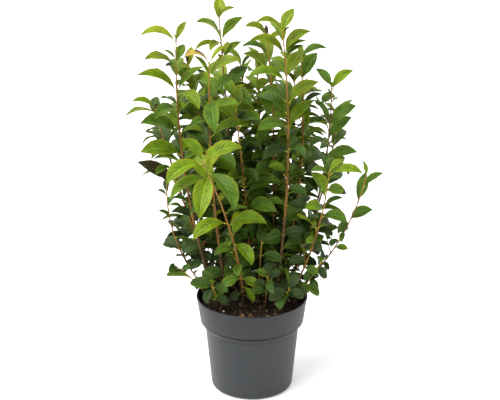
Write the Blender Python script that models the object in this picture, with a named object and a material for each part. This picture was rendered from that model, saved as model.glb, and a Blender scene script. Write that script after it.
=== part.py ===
# Potted privet: upright wands of opposite leaves rising from peat in a tapered nursery pot.
# Metres, +Z up. The origin is the centre of the pot's flat underside, and -Y is the front.

import math
import random
from collections import namedtuple

import bmesh
import bpy
import numpy as np
from mathutils import Vector
from mathutils.bvhtree import BVHTree

MM = 0.001
GAP = 0.3 * MM  # clearance between neighbouring pieces
QUARTER_TURN = math.radians(90)

# Pot: a three-litre container with a wide collar
POT_HEIGHT = 168 * MM
RIM_RADIUS = 95 * MM
COLLAR_FOOT_RADIUS = 88.7 * MM
COLLAR_FOOT_HEIGHT = 123 * MM
SHOULDER_RADIUS = 80 * MM
SHOULDER_HEIGHT = 106 * MM
BASE_RADIUS = 70.5 * MM
BASE_ROUNDING = 7 * MM
BASE_ROUNDING_STEPS = 4
WALL = 1.8 * MM
FLOOR = 3 * MM
POT_SEGMENTS = 48
DRAIN_RADIUS = 5 * MM
DRAIN_CIRCLE = 48 * MM
DRAIN_COUNT = 6
DRAIN_TURN = math.radians(33)  # keeps the holes off the pot's own edges

# Soil
SOIL_HEIGHT = 153 * MM
SOIL_EDGE_DROP = 2.5 * MM
SOIL_EDGE_WIDTH = 6 * MM

# Limbs
LIMB_SIDES = 6
LIMB_STEPS = 5
LENGTH_STEPS = 20  # chords that measure a wand
LEVEL_STEPS = 3  # rings over which a stem turns from its level cut to its lean
RING_CROWDING = 1.4  # above 1, a limb's rings lie closer together towards its foot
TAPER = 0.8  # below 1, a wand thins faster near its foot than near its tip
FLARE = 0.6  # how much wider a stem is where it meets the soil
FLARE_HEIGHT = 9 * MM
TWIG_SIDES = 3
TWIG_FATNESS = 1.25  # three-sided twigs are drawn a little wider than round ones
TIP_RADIUS = 0.9 * MM
BUD_LENGTH = 5 * MM
LOWEST_PAIR = 0.3  # of an internode, the least room below a wand's lowest leaves
AXIS_STEPS = 40  # points along a leafy stem that mark out its own space

# Leaves
LEAF_WIDTH = 0.5  # of the length
LEAF_WIDEST = 0.46  # of the way from root to tip
LEAF_CREST = 0.36
LEAF_THICKNESS = 0.024  # of the length
LEAF_FOLD = 0.36  # rise of each edge, of the half width
LEAF_ROOT = 0.3  # how far past the twig's middle a leaf is rooted, of the twig's radius
LEAF_ROLL = 0.45  # radians that a blade may turn about its midrib
LEAF_CLEARANCE = 0.6 * MM
SPIN_WANDER = math.radians(24)
SIZE_RANGE = (0.88, 1.06)  # of the length for the leaf's place on its wand
TILT_WANDER = 0.1  # radians
SAG_RANGE = (0.8, 1.2)  # of the droop for the leaf's place on its wand
# These run in even stages from the foot of a wand's leaves to its tip
INTERNODES = (27, 32, 38, 42, 40, 33, 22)  # mm between pairs of leaves
LEAF_SHARES = (0.5, 0.7, 0.92, 1.0, 1.0, 0.94, 0.7)  # of the wand's longest leaf
LEAF_RISES = (24, 30, 36, 42, 48, 56, 68)  # degrees above level where a leaf leaves its twig
LEAF_DROOPS = (34, 48, 60, 68, 74, 72, 44)  # degrees that a blade bends down along its length
OWN_PLACE = 0.4  # the share of a leaf that lies in its own wand's space
TURNS = (0, 14, -14, 28, -28, 42, -42)  # degrees that a crowded leaf may turn aside
TRIMS = (1.0, 0.84, 0.7)  # and how far it may be shortened

# Side twigs
TWIG_LENGTH = 34 * MM
TWIG_RISE = math.radians(52)
TWIG_RADIUS = 1.1 * MM
TWIG_LEAF = 0.5  # of the wand's leaf length
TWIG_TAPER = 0.7
TWIG_CHANCE = 0.08
TWIG_STRETCH = (0.15, 0.8)  # the part of a leafy stem that may carry side twigs
TWIG_WANDER = 0.5  # radians
TWIG_CLEAR = 0.12  # of its length, which lies among the roots of its own leaf pair
TWIG_PAIRS = ((0.5, QUARTER_TURN, 0.8), (0.9, 0, 1.0))  # place along it, turn, relative size
SMALL_LEAF_ANGLE = math.radians(50)  # both the rise and the droop of its leaves

# One wand: where it leaves the soil, the point it bends towards and its tip (mm), the radius
# at its foot (mm), the share of it that is bare, its longest leaves (mm), the heading of its
# top pair of leaves (degrees) and the seed of its small chances
Wand = namedtuple("Wand", "name foot bend tip radius bare leaf spin seed")
WANDS = (
    Wand("front_lime", (-14, -9), (-20, -74, 301), (-77, -120, 446), 3.0, 0.1, 76, 140, 47),
    Wand("front_tall", (38, 8), (74, -31, 405), (47, -60, 640), 3.7, 0.1, 74, 40, 17),
    Wand("front_left", (-43, 16), (-73, -33, 370), (-67, -70, 592), 3.5, 0.1, 72, 40, 17),
    Wand("front_right", (62, 12), (115, -39, 278), (123, -80, 417), 2.6, 0.12, 62, 140, 30),
    Wand("left_tall", (-62, 14), (-129, -8, 377), (-120, -30, 618), 3.7, 0.12, 76, 60, 22),
    Wand("right_tall", (57, 36), (131, 14, 337), (128, -15, 537), 3.2, 0.12, 68, 160, 35),
    Wand("right_edge", (70, 26), (164, 0, 258), (186, -35, 394), 2.2, 0.17, 50, 100, 30),
    Wand("left_side", (-58, 45), (-118, 13, 324), (-157, -15, 502), 2.9, 0.12, 70, 0, 24),
    Wand("left_low", (-72, 30), (-149, 24, 248), (-142, 5, 368), 2.2, 0.2, 46, 160, 24),
    Wand("top", (-18, 48), (-37, 36, 410), (-53, 20, 644), 3.7, 0.1, 72, 40, 17),
    Wand("short_left", (-44, 40), (-70, 15, 368), (-104, -10, 579), 3.1, 0.12, 66, 140, 47),
    Wand("middle", (0, 34), (-7, 3, 336), (-29, -25, 520), 3.2, 0.1, 70, 140, 47),
    Wand("middle_tall", (28, 49), (48, 30, 383), (24, 15, 612), 3.5, 0.1, 70, 140, 47),
    Wand("right_inner", (42, 44), (100, 19, 365), (78, -5, 581), 3.3, 0.1, 70, 40, 16),
    Wand("rear_left", (-31, 55), (-84, 110, 330), (-78, 150, 500), 3.2, 0.11, 70, 40, 19),
    Wand("rear_middle", (0, 72), (-2, 120, 340), (-18, 168, 520), 3.3, 0.11, 72, 160, 35),
    Wand("rear_right", (40, 62), (80, 104, 340), (72, 138, 525), 3.3, 0.11, 70, 140, 9),
    Wand("rear_left_edge", (-46, 60), (-124, 76, 280), (-150, 92, 430), 2.7, 0.12, 64, 80, 30),
    Wand("rear_right_edge", (56, 52), (124, 74, 290), (146, 88, 450), 2.7, 0.12, 64, 40, 1),
    Wand("rear_inner", (16, 28), (20, 62, 360), (8, 84, 548), 3.3, 0.12, 66, 140, 32),
)
SHOOTS = (
    Wand("low_front_left", (-56, -14), (-62, -34, 178), (-66, -46, 204), 1.6, 0.2, 34, 100, 27),
    Wand("low_front", (22, -24), (24, -40, 186), (26, -52, 222), 1.7, 0.2, 36, 100, 27),
    Wand("low_front_right", (54, -22), (58, -36, 178), (62, -48, 198), 1.6, 0.2, 36, 100, 7),
    Wand("low_left", (-70, 2), (-98, -2, 198), (-128, -8, 222), 1.8, 0.34, 40, 160, 15),
    Wand("low_right", (74, 0), (96, -6, 196), (116, -16, 232), 1.8, 0.35, 36, 100, 41),
    Wand("low_middle", (10, 6), (12, -6, 200), (16, -14, 268), 2.0, 0.2, 42, 120, 7),
    Wand("low_left_back", (-67, 44), (-82, 50, 215), (-128, 60, 262), 2.0, 0.28, 42, 120, 32),
    Wand("low_rear_left", (-22, 72), (-40, 82, 205), (-54, 116, 242), 1.8, 0.25, 40, 60, 39),
    Wand("low_rear_right", (22, 70), (38, 84, 205), (60, 118, 238), 1.8, 0.25, 40, 140, 58),
)

# name: base colour, roughness
FINISHES = {
    "pot_plastic": ((0.075, 0.088, 0.1, 1), 0.5),
    "peat": ((0.018, 0.011, 0.008, 1), 0.95),
    "bark": ((0.26, 0.12, 0.06, 1), 0.7),
    "leaf": ((0.13, 0.3, 0.035, 1), 0.45),
}


def clear_scene():
    for old in list(bpy.data.objects):
        bpy.data.objects.remove(old, do_unlink=True)


def make_material(name):
    colour, roughness = FINISHES[name]
    material = bpy.data.materials.new(name)
    material.use_nodes = True
    shader = material.node_tree.nodes["Principled BSDF"]
    shader.inputs["Base Color"].default_value = colour
    shader.inputs["Roughness"].default_value = roughness
    shader.inputs["Metallic"].default_value = 0
    return material


def make_object(name, bm, material, collection=None):
    mesh = bpy.data.meshes.new(name)
    bm.to_mesh(mesh)
    bm.free()
    piece = bpy.data.objects.new(name, mesh)
    (collection or bpy.context.scene.collection).objects.link(piece)
    mesh.materials.append(material)
    return piece


def turn_profile(name, profile, material):
    """Spin a profile of (radius, height) points that starts and ends on the axis."""
    bm = bmesh.new()
    points = [bm.verts.new((radius, 0, height)) for radius, height in profile]
    edges = [bm.edges.new(pair) for pair in zip(points, points[1:])]
    bmesh.ops.spin(bm, geom=points + edges, cent=(0, 0, 0), axis=(0, 0, 1),
                   angle=math.tau, steps=POT_SEGMENTS, use_merge=True)
    bmesh.ops.remove_doubles(bm, verts=bm.verts, dist=0.01 * MM)
    bmesh.ops.recalc_face_normals(bm, faces=bm.faces)
    piece = make_object(name, bm, material)
    piece.data.shade_smooth()
    piece.data.set_sharp_from_angle(angle=math.radians(35))
    return piece


# Pot and soil

def wall_points(inset, lowest, highest):
    """The pot's side from low to high, moved in by the inset and cut to a stretch of height."""
    side = [(BASE_RADIUS, BASE_ROUNDING), (SHOULDER_RADIUS, SHOULDER_HEIGHT),
            (COLLAR_FOOT_RADIUS, COLLAR_FOOT_HEIGHT), (RIM_RADIUS, POT_HEIGHT)]
    radii = [radius for radius, height in side]
    heights = [height for radius, height in side]
    inner = [height for height in heights if lowest < height < highest]
    stretch = [lowest] + inner + [highest]
    return [(float(np.interp(height, heights, radii)) - inset, height) for height in stretch]


def make_pot(material):
    centre = BASE_RADIUS - BASE_ROUNDING
    profile = [(0, 0)]
    for step in range(BASE_ROUNDING_STEPS):
        angle = QUARTER_TURN * step / BASE_ROUNDING_STEPS
        profile.append((centre + BASE_ROUNDING * math.sin(angle),
                        BASE_ROUNDING * (1 - math.cos(angle))))
    profile += wall_points(0, BASE_ROUNDING, POT_HEIGHT)
    profile += reversed(wall_points(WALL, BASE_ROUNDING, POT_HEIGHT))
    profile += [(centre, FLOOR), (0, FLOOR)]
    pot = turn_profile("pot", profile, material)
    for number in range(DRAIN_COUNT):
        angle = math.tau * number / DRAIN_COUNT + DRAIN_TURN
        cut_drain(pot, number, DRAIN_CIRCLE * math.cos(angle), DRAIN_CIRCLE * math.sin(angle))
    return pot


def cut_drain(pot, number, x, y):
    bm = bmesh.new()
    bmesh.ops.create_cone(bm, cap_ends=True, segments=12, radius1=DRAIN_RADIUS,
                          radius2=DRAIN_RADIUS, depth=4 * FLOOR)
    cutter = make_object(f"drain_cutter_{number + 1}", bm, pot.data.materials[0])
    cutter.location = (x, y, 0)
    cutter.hide_render = True
    cutter.display_type = "WIRE"
    cut = pot.modifiers.new("drain", "BOOLEAN")
    cut.operation = "DIFFERENCE"
    cut.solver = "EXACT"
    cut.object = cutter


def make_soil(material):
    edge_height = SOIL_HEIGHT - SOIL_EDGE_DROP
    profile = [(0, FLOOR + GAP), (BASE_RADIUS - BASE_ROUNDING - GAP, FLOOR + GAP)]
    profile += wall_points(WALL + GAP, BASE_ROUNDING + GAP, edge_height)
    profile += [(profile[-1][0] - SOIL_EDGE_WIDTH, SOIL_HEIGHT), (0, SOIL_HEIGHT)]
    return turn_profile("soil", profile, material)


# Limbs and twigs

def along(wand, share):
    """A point of the wand's curve and its direction there."""
    foot = Vector((*wand.foot, (SOIL_HEIGHT + GAP) / MM)) * MM
    bend = Vector(wand.bend) * MM
    tip = Vector(wand.tip) * MM
    rest = 1 - share
    point = foot * rest * rest + bend * 2 * share * rest + tip * share * share
    direction = (bend - foot) * rest + (tip - bend) * share
    return point, direction.normalized()


def wand_length(wand):
    places = [along(wand, step / LENGTH_STEPS)[0] for step in range(LENGTH_STEPS + 1)]
    return sum((b - a).length for a, b in zip(places, places[1:]))


def wand_radius(wand, share):
    """True taper from the foot to the tip, with the flare where the stem meets the soil."""
    plain = wand.radius * MM + (TIP_RADIUS - wand.radius * MM) * min(share, 1) ** TAPER
    height = share * wand_length(wand)
    return plain * (1 + FLARE * math.exp(-height / FLARE_HEIGHT))


def tube(places, radii, sides):
    """A closed tube through places, each a point and a direction."""
    bm = bmesh.new()
    rings = []
    for (point, direction), radius in zip(places, radii):
        turn = Vector((0, 0, 1)).rotation_difference(direction).to_matrix().to_4x4()
        turn.translation = point
        ring = bmesh.ops.create_circle(bm, cap_ends=False, segments=sides, radius=radius,
                                       matrix=turn)
        rings.append(ring["verts"])
    for low, high in zip(rings, rings[1:]):
        for side in range(sides):
            after = (side + 1) % sides
            bm.faces.new((low[side], low[after], high[after], high[side]))
    bm.faces.new(rings[0])
    bm.faces.new(rings[-1])
    bmesh.ops.recalc_face_normals(bm, faces=bm.faces)
    return bm


def make_limb(wand, material):
    """The bare lower stem, from its flat cut on the soil to where the leaves begin."""
    shares = [wand.bare * (step / LIMB_STEPS) ** RING_CROWDING for step in range(LIMB_STEPS + 1)]
    places = []
    for step, share in enumerate(shares):
        point, direction = along(wand, share)
        lean = min(1, step / LEVEL_STEPS)
        places.append((point, Vector((0, 0, 1)).lerp(direction, lean).normalized()))
    radii = [wand_radius(wand, share) for share in shares]
    limb = make_object(f"stem_{wand.name}", tube(places, radii, LIMB_SIDES), material)
    limb.data.shade_smooth()
    limb.data.set_sharp_from_angle(angle=math.radians(60))
    return limb


def twig_places(wand):
    """The leafy stem: it starts just clear of the limb and ends in a bud past its top leaves."""
    nodes = sorted(node_shares(wand))
    between = [(low + high) / 2 for low, high in zip(nodes, nodes[1:])]
    end = 1 + BUD_LENGTH / wand_length(wand)
    shares = [wand.bare + GAP / wand_length(wand)] + between + [end]
    return [along(wand, share) for share in shares], [wand_radius(wand, s) for s in shares]


def node_shares(wand):
    """Where the pairs of leaves sit, from the tip down."""
    length = wand_length(wand)
    shares = [1.0]
    while True:
        rung = (shares[-1] - wand.bare) / (1 - wand.bare)
        step = stage_value(INTERNODES, rung) * MM / length
        if shares[-1] - step < wand.bare + LOWEST_PAIR * step:
            return shares
        shares.append(shares[-1] - step)


# Leaves

Leaf = namedtuple("Leaf", "root heading rise length droop roll")
LEAF_FACES = ((0, 1, 4), (0, 4, 2), (3, 4, 1), (3, 2, 4), (0, 5, 1), (0, 2, 5), (3, 1, 5), (3, 5, 2))


def arc_point(leaf, share):
    """A point on the blade's bent midrib, and the blade's upward normal there."""
    bend = leaf.droop / leaf.length
    angle = leaf.rise - leaf.droop * share
    out = (math.sin(leaf.rise) - math.sin(angle)) / bend
    up = (math.cos(angle) - math.cos(leaf.rise)) / bend
    ahead = Vector((math.cos(leaf.heading), math.sin(leaf.heading), 0))
    point = leaf.root + ahead * out + Vector((0, 0, up))
    normal = Vector((0, 0, math.cos(angle))) - ahead * math.sin(angle)
    return point, normal


def leaf_points(leaf, grow=0.0):
    """Root, left edge, right edge, tip, crest and underside; grow swells the leaf all round."""
    level = Vector((-math.sin(leaf.heading), math.cos(leaf.heading), 0))
    half_width = leaf.length * LEAF_WIDTH / 2
    half_thickness = leaf.length * LEAF_THICKNESS / 2 + grow
    middle, upward = arc_point(leaf, LEAF_WIDEST)
    side = level * math.cos(leaf.roll) + upward * math.sin(leaf.roll)
    normal = upward * math.cos(leaf.roll) - level * math.sin(leaf.roll)
    edge = middle + normal * LEAF_FOLD * half_width
    crest = arc_point(leaf, LEAF_CREST)[0]
    tip = arc_point(leaf, 1 + grow / leaf.length)[0]
    return [leaf.root, edge + side * (half_width + grow), edge - side * (half_width + grow), tip,
            crest + normal * half_thickness, crest - normal * half_thickness]


def stage_value(values, share):
    """Read a list that runs from a wand's foot to its tip."""
    return float(np.interp(share, np.linspace(0, 1, len(values)), values))


def wand_leaves(wand, rng):
    """Every pair of leaves that the wand would carry, and its side twigs with theirs."""
    leaves = []
    twigs = []
    spin = math.radians(wand.spin)
    for number, share in enumerate(node_shares(wand)):
        point, direction = along(wand, share)
        radius = wand_radius(wand, share)
        rung = (share - wand.bare) / (1 - wand.bare)
        length = wand.leaf * MM * stage_value(LEAF_SHARES, rung)
        rise = math.radians(stage_value(LEAF_RISES, rung))
        droop = math.radians(stage_value(LEAF_DROOPS, rung))
        heading = spin + number * QUARTER_TURN + rng.uniform(-SPIN_WANDER, SPIN_WANDER)
        for half in (0, 1):
            aim = heading + half * math.pi
            ahead = Vector((math.cos(aim), math.sin(aim), 0))
            size = length * rng.uniform(*SIZE_RANGE)
            tilt = rise + rng.uniform(-TILT_WANDER, TILT_WANDER)
            sag = droop * rng.uniform(*SAG_RANGE)
            roll = rng.uniform(-LEAF_ROLL, LEAF_ROLL)
            root = point - ahead * LEAF_ROOT * radius
            leaves.append([Leaf(root, aim, tilt, size, sag, roll), number])
            if rng.random() < TWIG_CHANCE and TWIG_STRETCH[0] < rung < TWIG_STRETCH[1]:
                twigs.append([point, aim + rng.uniform(-TWIG_WANDER, TWIG_WANDER), radius])
    return leaves, twigs


def side_twig(wand, twig):
    """A short twig in a leaf's axil, with a pair of small leaves part way and one at its end."""
    point, aim, radius = twig
    direction = Vector((math.cos(aim) * math.cos(TWIG_RISE), math.sin(aim) * math.cos(TWIG_RISE),
                        math.sin(TWIG_RISE)))
    end = point + direction * TWIG_LENGTH
    places = [(point, direction), (end, direction)]
    leaves = []
    for share, turn, scale in TWIG_PAIRS:
        root = point + direction * TWIG_LENGTH * share
        for half in (0, 1):
            heading = aim + turn + half * math.pi
            length = scale * TWIG_LEAF * wand.leaf * MM
            leaves.append(Leaf(root, heading, SMALL_LEAF_ANGLE, length, SMALL_LEAF_ANGLE, 0))
    return places, leaves


# Room for each leaf

class Room:
    """Everything placed so far, so that a new leaf or twig is put only where it touches nothing."""

    def __init__(self):
        self.centres = []
        self.reaches = []
        self.trees = []
        self.owners = []
        self.axis_points = []
        self.axis_owners = []

    def add(self, points, faces, owner):
        low = Vector([min(p[i] for p in points) for i in range(3)])
        high = Vector([max(p[i] for p in points) for i in range(3)])
        self.centres.append((low + high) / 2)
        self.reaches.append((high - low).length / 2)
        self.trees.append(BVHTree.FromPolygons(points, faces))
        self.owners.append(owner)

    def add_axis(self, points, owner):
        self.axis_points += [tuple(point) for point in points]
        self.axis_owners += [owner] * len(points)

    def is_free(self, points, faces, ignored):
        low = Vector([min(p[i] for p in points) for i in range(3)])
        high = Vector([max(p[i] for p in points) for i in range(3)])
        centre = (low + high) / 2
        reach = (high - low).length / 2
        apart = np.linalg.norm(np.array(self.centres) - np.array(centre), axis=1)
        near = np.nonzero(apart < np.array(self.reaches) + reach)[0]
        tree = BVHTree.FromPolygons(points, faces)
        for index in near:
            if self.owners[index] not in ignored and tree.overlap(self.trees[index]):
                return False
        return True

    def is_own(self, point, owner):
        """True where the point lies in the space of its own wand, nearer to it than to others."""
        apart = np.linalg.norm(np.array(self.axis_points) - np.array(point), axis=1)
        return self.axis_owners[int(np.argmin(apart))] == owner


def mesh_points(bm):
    bm.verts.index_update()
    points = [vert.co.copy() for vert in bm.verts]
    faces = [[vert.index for vert in face.verts] for face in bm.faces]
    return points, faces


def settle_leaf(room, leaf, owner, ignored):
    """The leaf as it fits: turned aside or shortened where it is crowded, or None."""
    for trim in TRIMS:
        for turn in TURNS:
            tried = leaf._replace(heading=leaf.heading + math.radians(turn),
                                  length=leaf.length * trim)
            if not room.is_own(arc_point(tried, OWN_PLACE)[0], owner):
                continue
            if room.is_free(leaf_points(tried, LEAF_CLEARANCE), LEAF_FACES, ignored):
                return tried
    return None


def leaf_bmesh(leaf):
    bm = bmesh.new()
    verts = [bm.verts.new(point) for point in leaf_points(leaf)]
    for face in LEAF_FACES:
        bm.faces.new([verts[index] for index in face])
    bmesh.ops.recalc_face_normals(bm, faces=bm.faces)
    return bm


def largest_shell(piece):
    """Keep the mass's one outer shell: loose scraps and sealed hollows go."""
    bm = bmesh.new()
    bm.from_mesh(piece.data)
    left = set(bm.faces)
    shells = []
    while left:
        shell = {left.pop()}
        edge_of_work = list(shell)
        while edge_of_work:
            face = edge_of_work.pop()
            for edge in face.edges:
                for other in edge.link_faces:
                    if other in left:
                        left.discard(other)
                        shell.add(other)
                        edge_of_work.append(other)
        shells.append(shell)
    shells.sort(key=len, reverse=True)
    scraps = [face for shell in shells[1:] for face in shell]
    bmesh.ops.delete(bm, geom=scraps, context="FACES")
    bm.to_mesh(piece.data)
    bm.free()


def is_closed(mesh):
    bm = bmesh.new()
    bm.from_mesh(mesh)
    closed = all(len(edge.link_faces) == 2 for edge in bm.edges)
    bm.free()
    return closed


def join_mass(name, stem, members, material):
    """Fuse the leafy stem with its twigs and leaves into one closed body."""
    group = bpy.data.collections.new(f"{name}_parts")
    bpy.context.scene.collection.children.link(group)
    mass = make_object(name, stem, material)
    for number, member in enumerate(members):
        make_object(f"{name}_part_{number + 1}", member, material, group)
    union = mass.modifiers.new("join", "BOOLEAN")
    union.operation = "UNION"
    union.operand_type = "COLLECTION"
    union.collection = group
    for solver in ("EXACT", "MANIFOLD"):
        union.solver = solver
        depsgraph = bpy.context.evaluated_depsgraph_get()
        joined = bpy.data.meshes.new_from_object(mass.evaluated_get(depsgraph))
        if is_closed(joined):
            break
    mass.modifiers.clear()
    mass.data = joined
    for member in list(group.objects):
        bpy.data.objects.remove(member, do_unlink=True)
    bpy.data.collections.remove(group)
    largest_shell(mass)
    return mass


def grow_plant(pot, soil, bark, leaf_material):
    plant = WANDS + SHOOTS
    room = Room()
    for piece in (pot, soil):
        bm = bmesh.new()
        bm.from_mesh(piece.data)
        room.add(*mesh_points(bm), piece.name)
        bm.free()
    stems = {}
    for wand in plant:
        limb = make_limb(wand, bark)
        bm = bmesh.new()
        bm.from_mesh(limb.data)
        room.add(*mesh_points(bm), f"stem_{wand.name}")
        bm.free()
        places, radii = twig_places(wand)
        stem = tube(places, [radius * TWIG_FATNESS for radius in radii], TWIG_SIDES)
        room.add(*mesh_points(stem), wand.name)
        room.add_axis([along(wand, wand.bare + (1 - wand.bare) * step / AXIS_STEPS)[0]
                       for step in range(AXIS_STEPS + 1)], wand.name)
        stems[wand.name] = stem
    for wand in plant:
        rng = random.Random(wand.seed)
        leaves, twigs = wand_leaves(wand, rng)
        members = []
        for leaf, pair in leaves:
            partner = f"{wand.name}_{pair}"
            settled = settle_leaf(room, leaf, wand.name, (wand.name, partner))
            if settled:
                room.add(leaf_points(settled), LEAF_FACES, partner)
                members.append(leaf_bmesh(settled))
        for index, twig in enumerate(twigs):
            places, small = side_twig(wand, twig)
            branch = tube(places, [TWIG_RADIUS, TWIG_RADIUS * TWIG_TAPER], TWIG_SIDES)
            owner = f"{wand.name}_twig_{index}"
            points, faces = mesh_points(branch)
            # the twig's own root lies inside the stem and among its leaf pair's roots
            clear = [point + (places[1][0] - places[0][0]) * TWIG_CLEAR for point in points]
            if not room.is_own(places[1][0], wand.name) or \
                    not room.is_free(clear, faces, (wand.name,)):
                branch.free()
                continue
            room.add(points, faces, owner)
            members.append(branch)
            for leaf in small:
                settled = settle_leaf(room, leaf, wand.name, (wand.name, owner))
                if settled:
                    room.add(leaf_points(settled), LEAF_FACES, owner)
                    members.append(leaf_bmesh(settled))
        join_mass(f"foliage_{wand.name}", stems[wand.name], members, leaf_material)


def main():
    clear_scene()
    materials = {name: make_material(name) for name in FINISHES}
    pot = make_pot(materials["pot_plastic"])
    soil = make_soil(materials["peat"])
    grow_plant(pot, soil, materials["bark"], materials["leaf"])


main()
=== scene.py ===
# Potted privet: pot, peat, barked stems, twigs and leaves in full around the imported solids.
# Metres, +Z up, -Y is the front.

import math
import random
from collections import namedtuple

import bmesh
import bpy
import numpy as np
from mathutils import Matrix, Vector, noise
from mathutils.bvhtree import BVHTree


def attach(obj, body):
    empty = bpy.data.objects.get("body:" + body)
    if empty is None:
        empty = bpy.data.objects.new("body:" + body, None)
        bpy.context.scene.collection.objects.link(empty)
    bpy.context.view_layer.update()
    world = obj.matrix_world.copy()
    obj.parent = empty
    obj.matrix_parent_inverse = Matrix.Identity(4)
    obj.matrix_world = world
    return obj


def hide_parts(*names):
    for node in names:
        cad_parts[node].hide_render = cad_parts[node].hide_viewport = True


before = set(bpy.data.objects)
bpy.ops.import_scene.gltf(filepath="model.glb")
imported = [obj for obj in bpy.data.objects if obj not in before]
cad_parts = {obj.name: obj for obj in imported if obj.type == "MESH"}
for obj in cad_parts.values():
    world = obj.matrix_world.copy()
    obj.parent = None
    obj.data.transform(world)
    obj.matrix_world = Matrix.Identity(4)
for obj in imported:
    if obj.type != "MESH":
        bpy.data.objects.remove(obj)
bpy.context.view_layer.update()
mm = 0.001
up = Vector((0, 0, 1))
quarterTurn = math.radians(90)
print("frame loaded:", len(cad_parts), "solids")


# Materials

paintShare = 0.76
tint = {"drift": 0.12, "scale": 90, "bump": (0.25, 260, 0.0004)}


def screenColour(red, green, blue):
    # a screen colour from 0 to 255 as a linear one, darkened to suit the lights
    values = [value / 255 for value in (red, green, blue)]
    linear = [v / 12.92 if v <= 0.04045 else ((v + 0.055) / 1.055) ** 2.4 for v in values]
    return tuple(value * paintShare for value in linear) + (1,)


def grey(value):
    return (value, value, value, 1)


def driftPair(colour, change):
    # a screen colour made darker and lighter by the same share
    return [screenColour(*[min(255, value * share) for value in colour])
            for share in (1 - change, 1 + change)]


def addNode(tree, kind, inputs=(), **settings):
    # inputs: (socket, value or output to link) pairs, filled in after the settings
    node = tree.nodes.new("ShaderNode" + kind)
    for name, value in settings.items():
        setattr(node, name, value)
    for name, value in inputs:
        if isinstance(value, bpy.types.NodeSocket):
            tree.links.new(value, node.inputs[name])
        else:
            node.inputs[name].default_value = value
    return node


def shaderOf(material):
    return material.node_tree.nodes["Principled BSDF"]


def newMaterial(name, roughness, specular):
    material = bpy.data.materials.new(name)
    material.use_nodes = True
    shader = shaderOf(material)
    shader.inputs["Roughness"].default_value = roughness
    shader.inputs["Specular IOR Level"].default_value = specular
    return material


def noiseField(material, scale, stretch=(1, 1, 1), detail=3, rough=0.5):
    tree = material.node_tree
    place = addNode(tree, "TexCoord").outputs["Object"]
    mapping = addNode(tree, "Mapping", (("Vector", place), ("Scale", stretch)))
    return addNode(tree, "TexNoise", (("Vector", mapping.outputs["Vector"]), ("Scale", scale),
                                      ("Detail", detail), ("Roughness", rough)))


def addRamp(material, field, stops):
    # stops: (place, colour) pairs
    ramp = addNode(material.node_tree, "ValToRGB", (("Fac", field.outputs[0]),))
    while len(ramp.color_ramp.elements) < len(stops):
        ramp.color_ramp.elements.new(0.5)
    for element, (place, colour) in zip(ramp.color_ramp.elements, stops):
        element.position = place
        element.color = colour
    return ramp.outputs["Color"]


def addBump(material, height, strength, distance):
    bump = addNode(material.node_tree, "Bump", (("Height", height), ("Strength", strength),
                                                ("Distance", distance)))
    material.node_tree.links.new(bump.outputs["Normal"], shaderOf(material).inputs["Normal"])


def mathNode(material, operation, *values):
    node = addNode(material.node_tree, "Math", enumerate(values), operation=operation)
    return node.outputs["Value"]


def blended(material, share, first, second, way="MIX"):
    pairs = (("Factor", share), ("A", first), ("B", second))
    node = addNode(material.node_tree, "Mix", pairs, data_type="RGBA", blend_type=way)
    return node.outputs["Result"]


def setBase(material, colour):
    material.node_tree.links.new(colour, shaderOf(material).inputs["Base Color"])


def mottled(name, low, high, scale, roughness, specular, stretch=(1, 1, 1), bump=None,
            spread=0.15):
    # two colours in a noise, with bump as (strength, scale, distance)
    material = newMaterial(name, roughness, specular)
    field = noiseField(material, scale, stretch)
    setBase(material, addRamp(material, field, ((0.5 - spread, low), (0.5 + spread, high))))
    if bump:
        strength, fineScale, distance = bump
        fine = noiseField(material, fineScale, stretch)
        addBump(material, fine.outputs["Fac"], strength, distance)
    return material


def tinted(name, colour, roughness, specular):
    # one base colour with a slight drift across it
    low, high = driftPair(colour, tint["drift"])
    return mottled(name, low, high, tint["scale"], roughness, specular, bump=tint["bump"])


# Shared object and mesh helpers

def addObject(name, data):
    thing = bpy.data.objects.new(name, data)
    bpy.context.scene.collection.objects.link(thing)
    return thing


def finishPiece(name, mesh, nodes):
    piece = addObject(name, mesh)
    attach(piece, "root")
    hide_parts(*nodes)
    print("made", name, "with", sum(len(p.vertices) - 2 for p in mesh.polygons), "triangles")


def flatRay(angle):
    return Vector((math.cos(angle), math.sin(angle), 0))


def spinProfile(profile, steps):
    # a profile of (radius, height) in mm that starts and ends on the axis, spun full circle
    bm = bmesh.new()
    points = [bm.verts.new((radius * mm, 0, height * mm)) for radius, height in profile]
    edges = [bm.edges.new(pair) for pair in zip(points, points[1:])]
    bmesh.ops.spin(bm, geom=points + edges, cent=(0, 0, 0), axis=(0, 0, 1), angle=math.tau,
                   steps=steps, use_merge=True)
    bmesh.ops.remove_doubles(bm, verts=bm.verts, dist=0.01 * mm)
    bmesh.ops.recalc_face_normals(bm, faces=bm.faces)
    return bm


def smoothMesh(mesh, sharp, materials=()):
    for material in materials:
        mesh.materials.append(material)
    mesh.shade_smooth()
    mesh.set_sharp_from_angle(angle=math.radians(sharp))
    return mesh


def meshFrom(name, bm):
    mesh = bpy.data.meshes.new(name)
    bm.to_mesh(mesh)
    bm.free()
    return mesh


def templateArrays(bm):
    # vertices, faces and face materials of a small shape that is repeated
    bm.verts.index_update()
    points = np.array([vert.co for vert in bm.verts])
    faces = [[vert.index for vert in face.verts] for face in bm.faces]
    kinds = [face.material_index for face in bm.faces]
    bm.free()
    return points, faces, kinds


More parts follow.
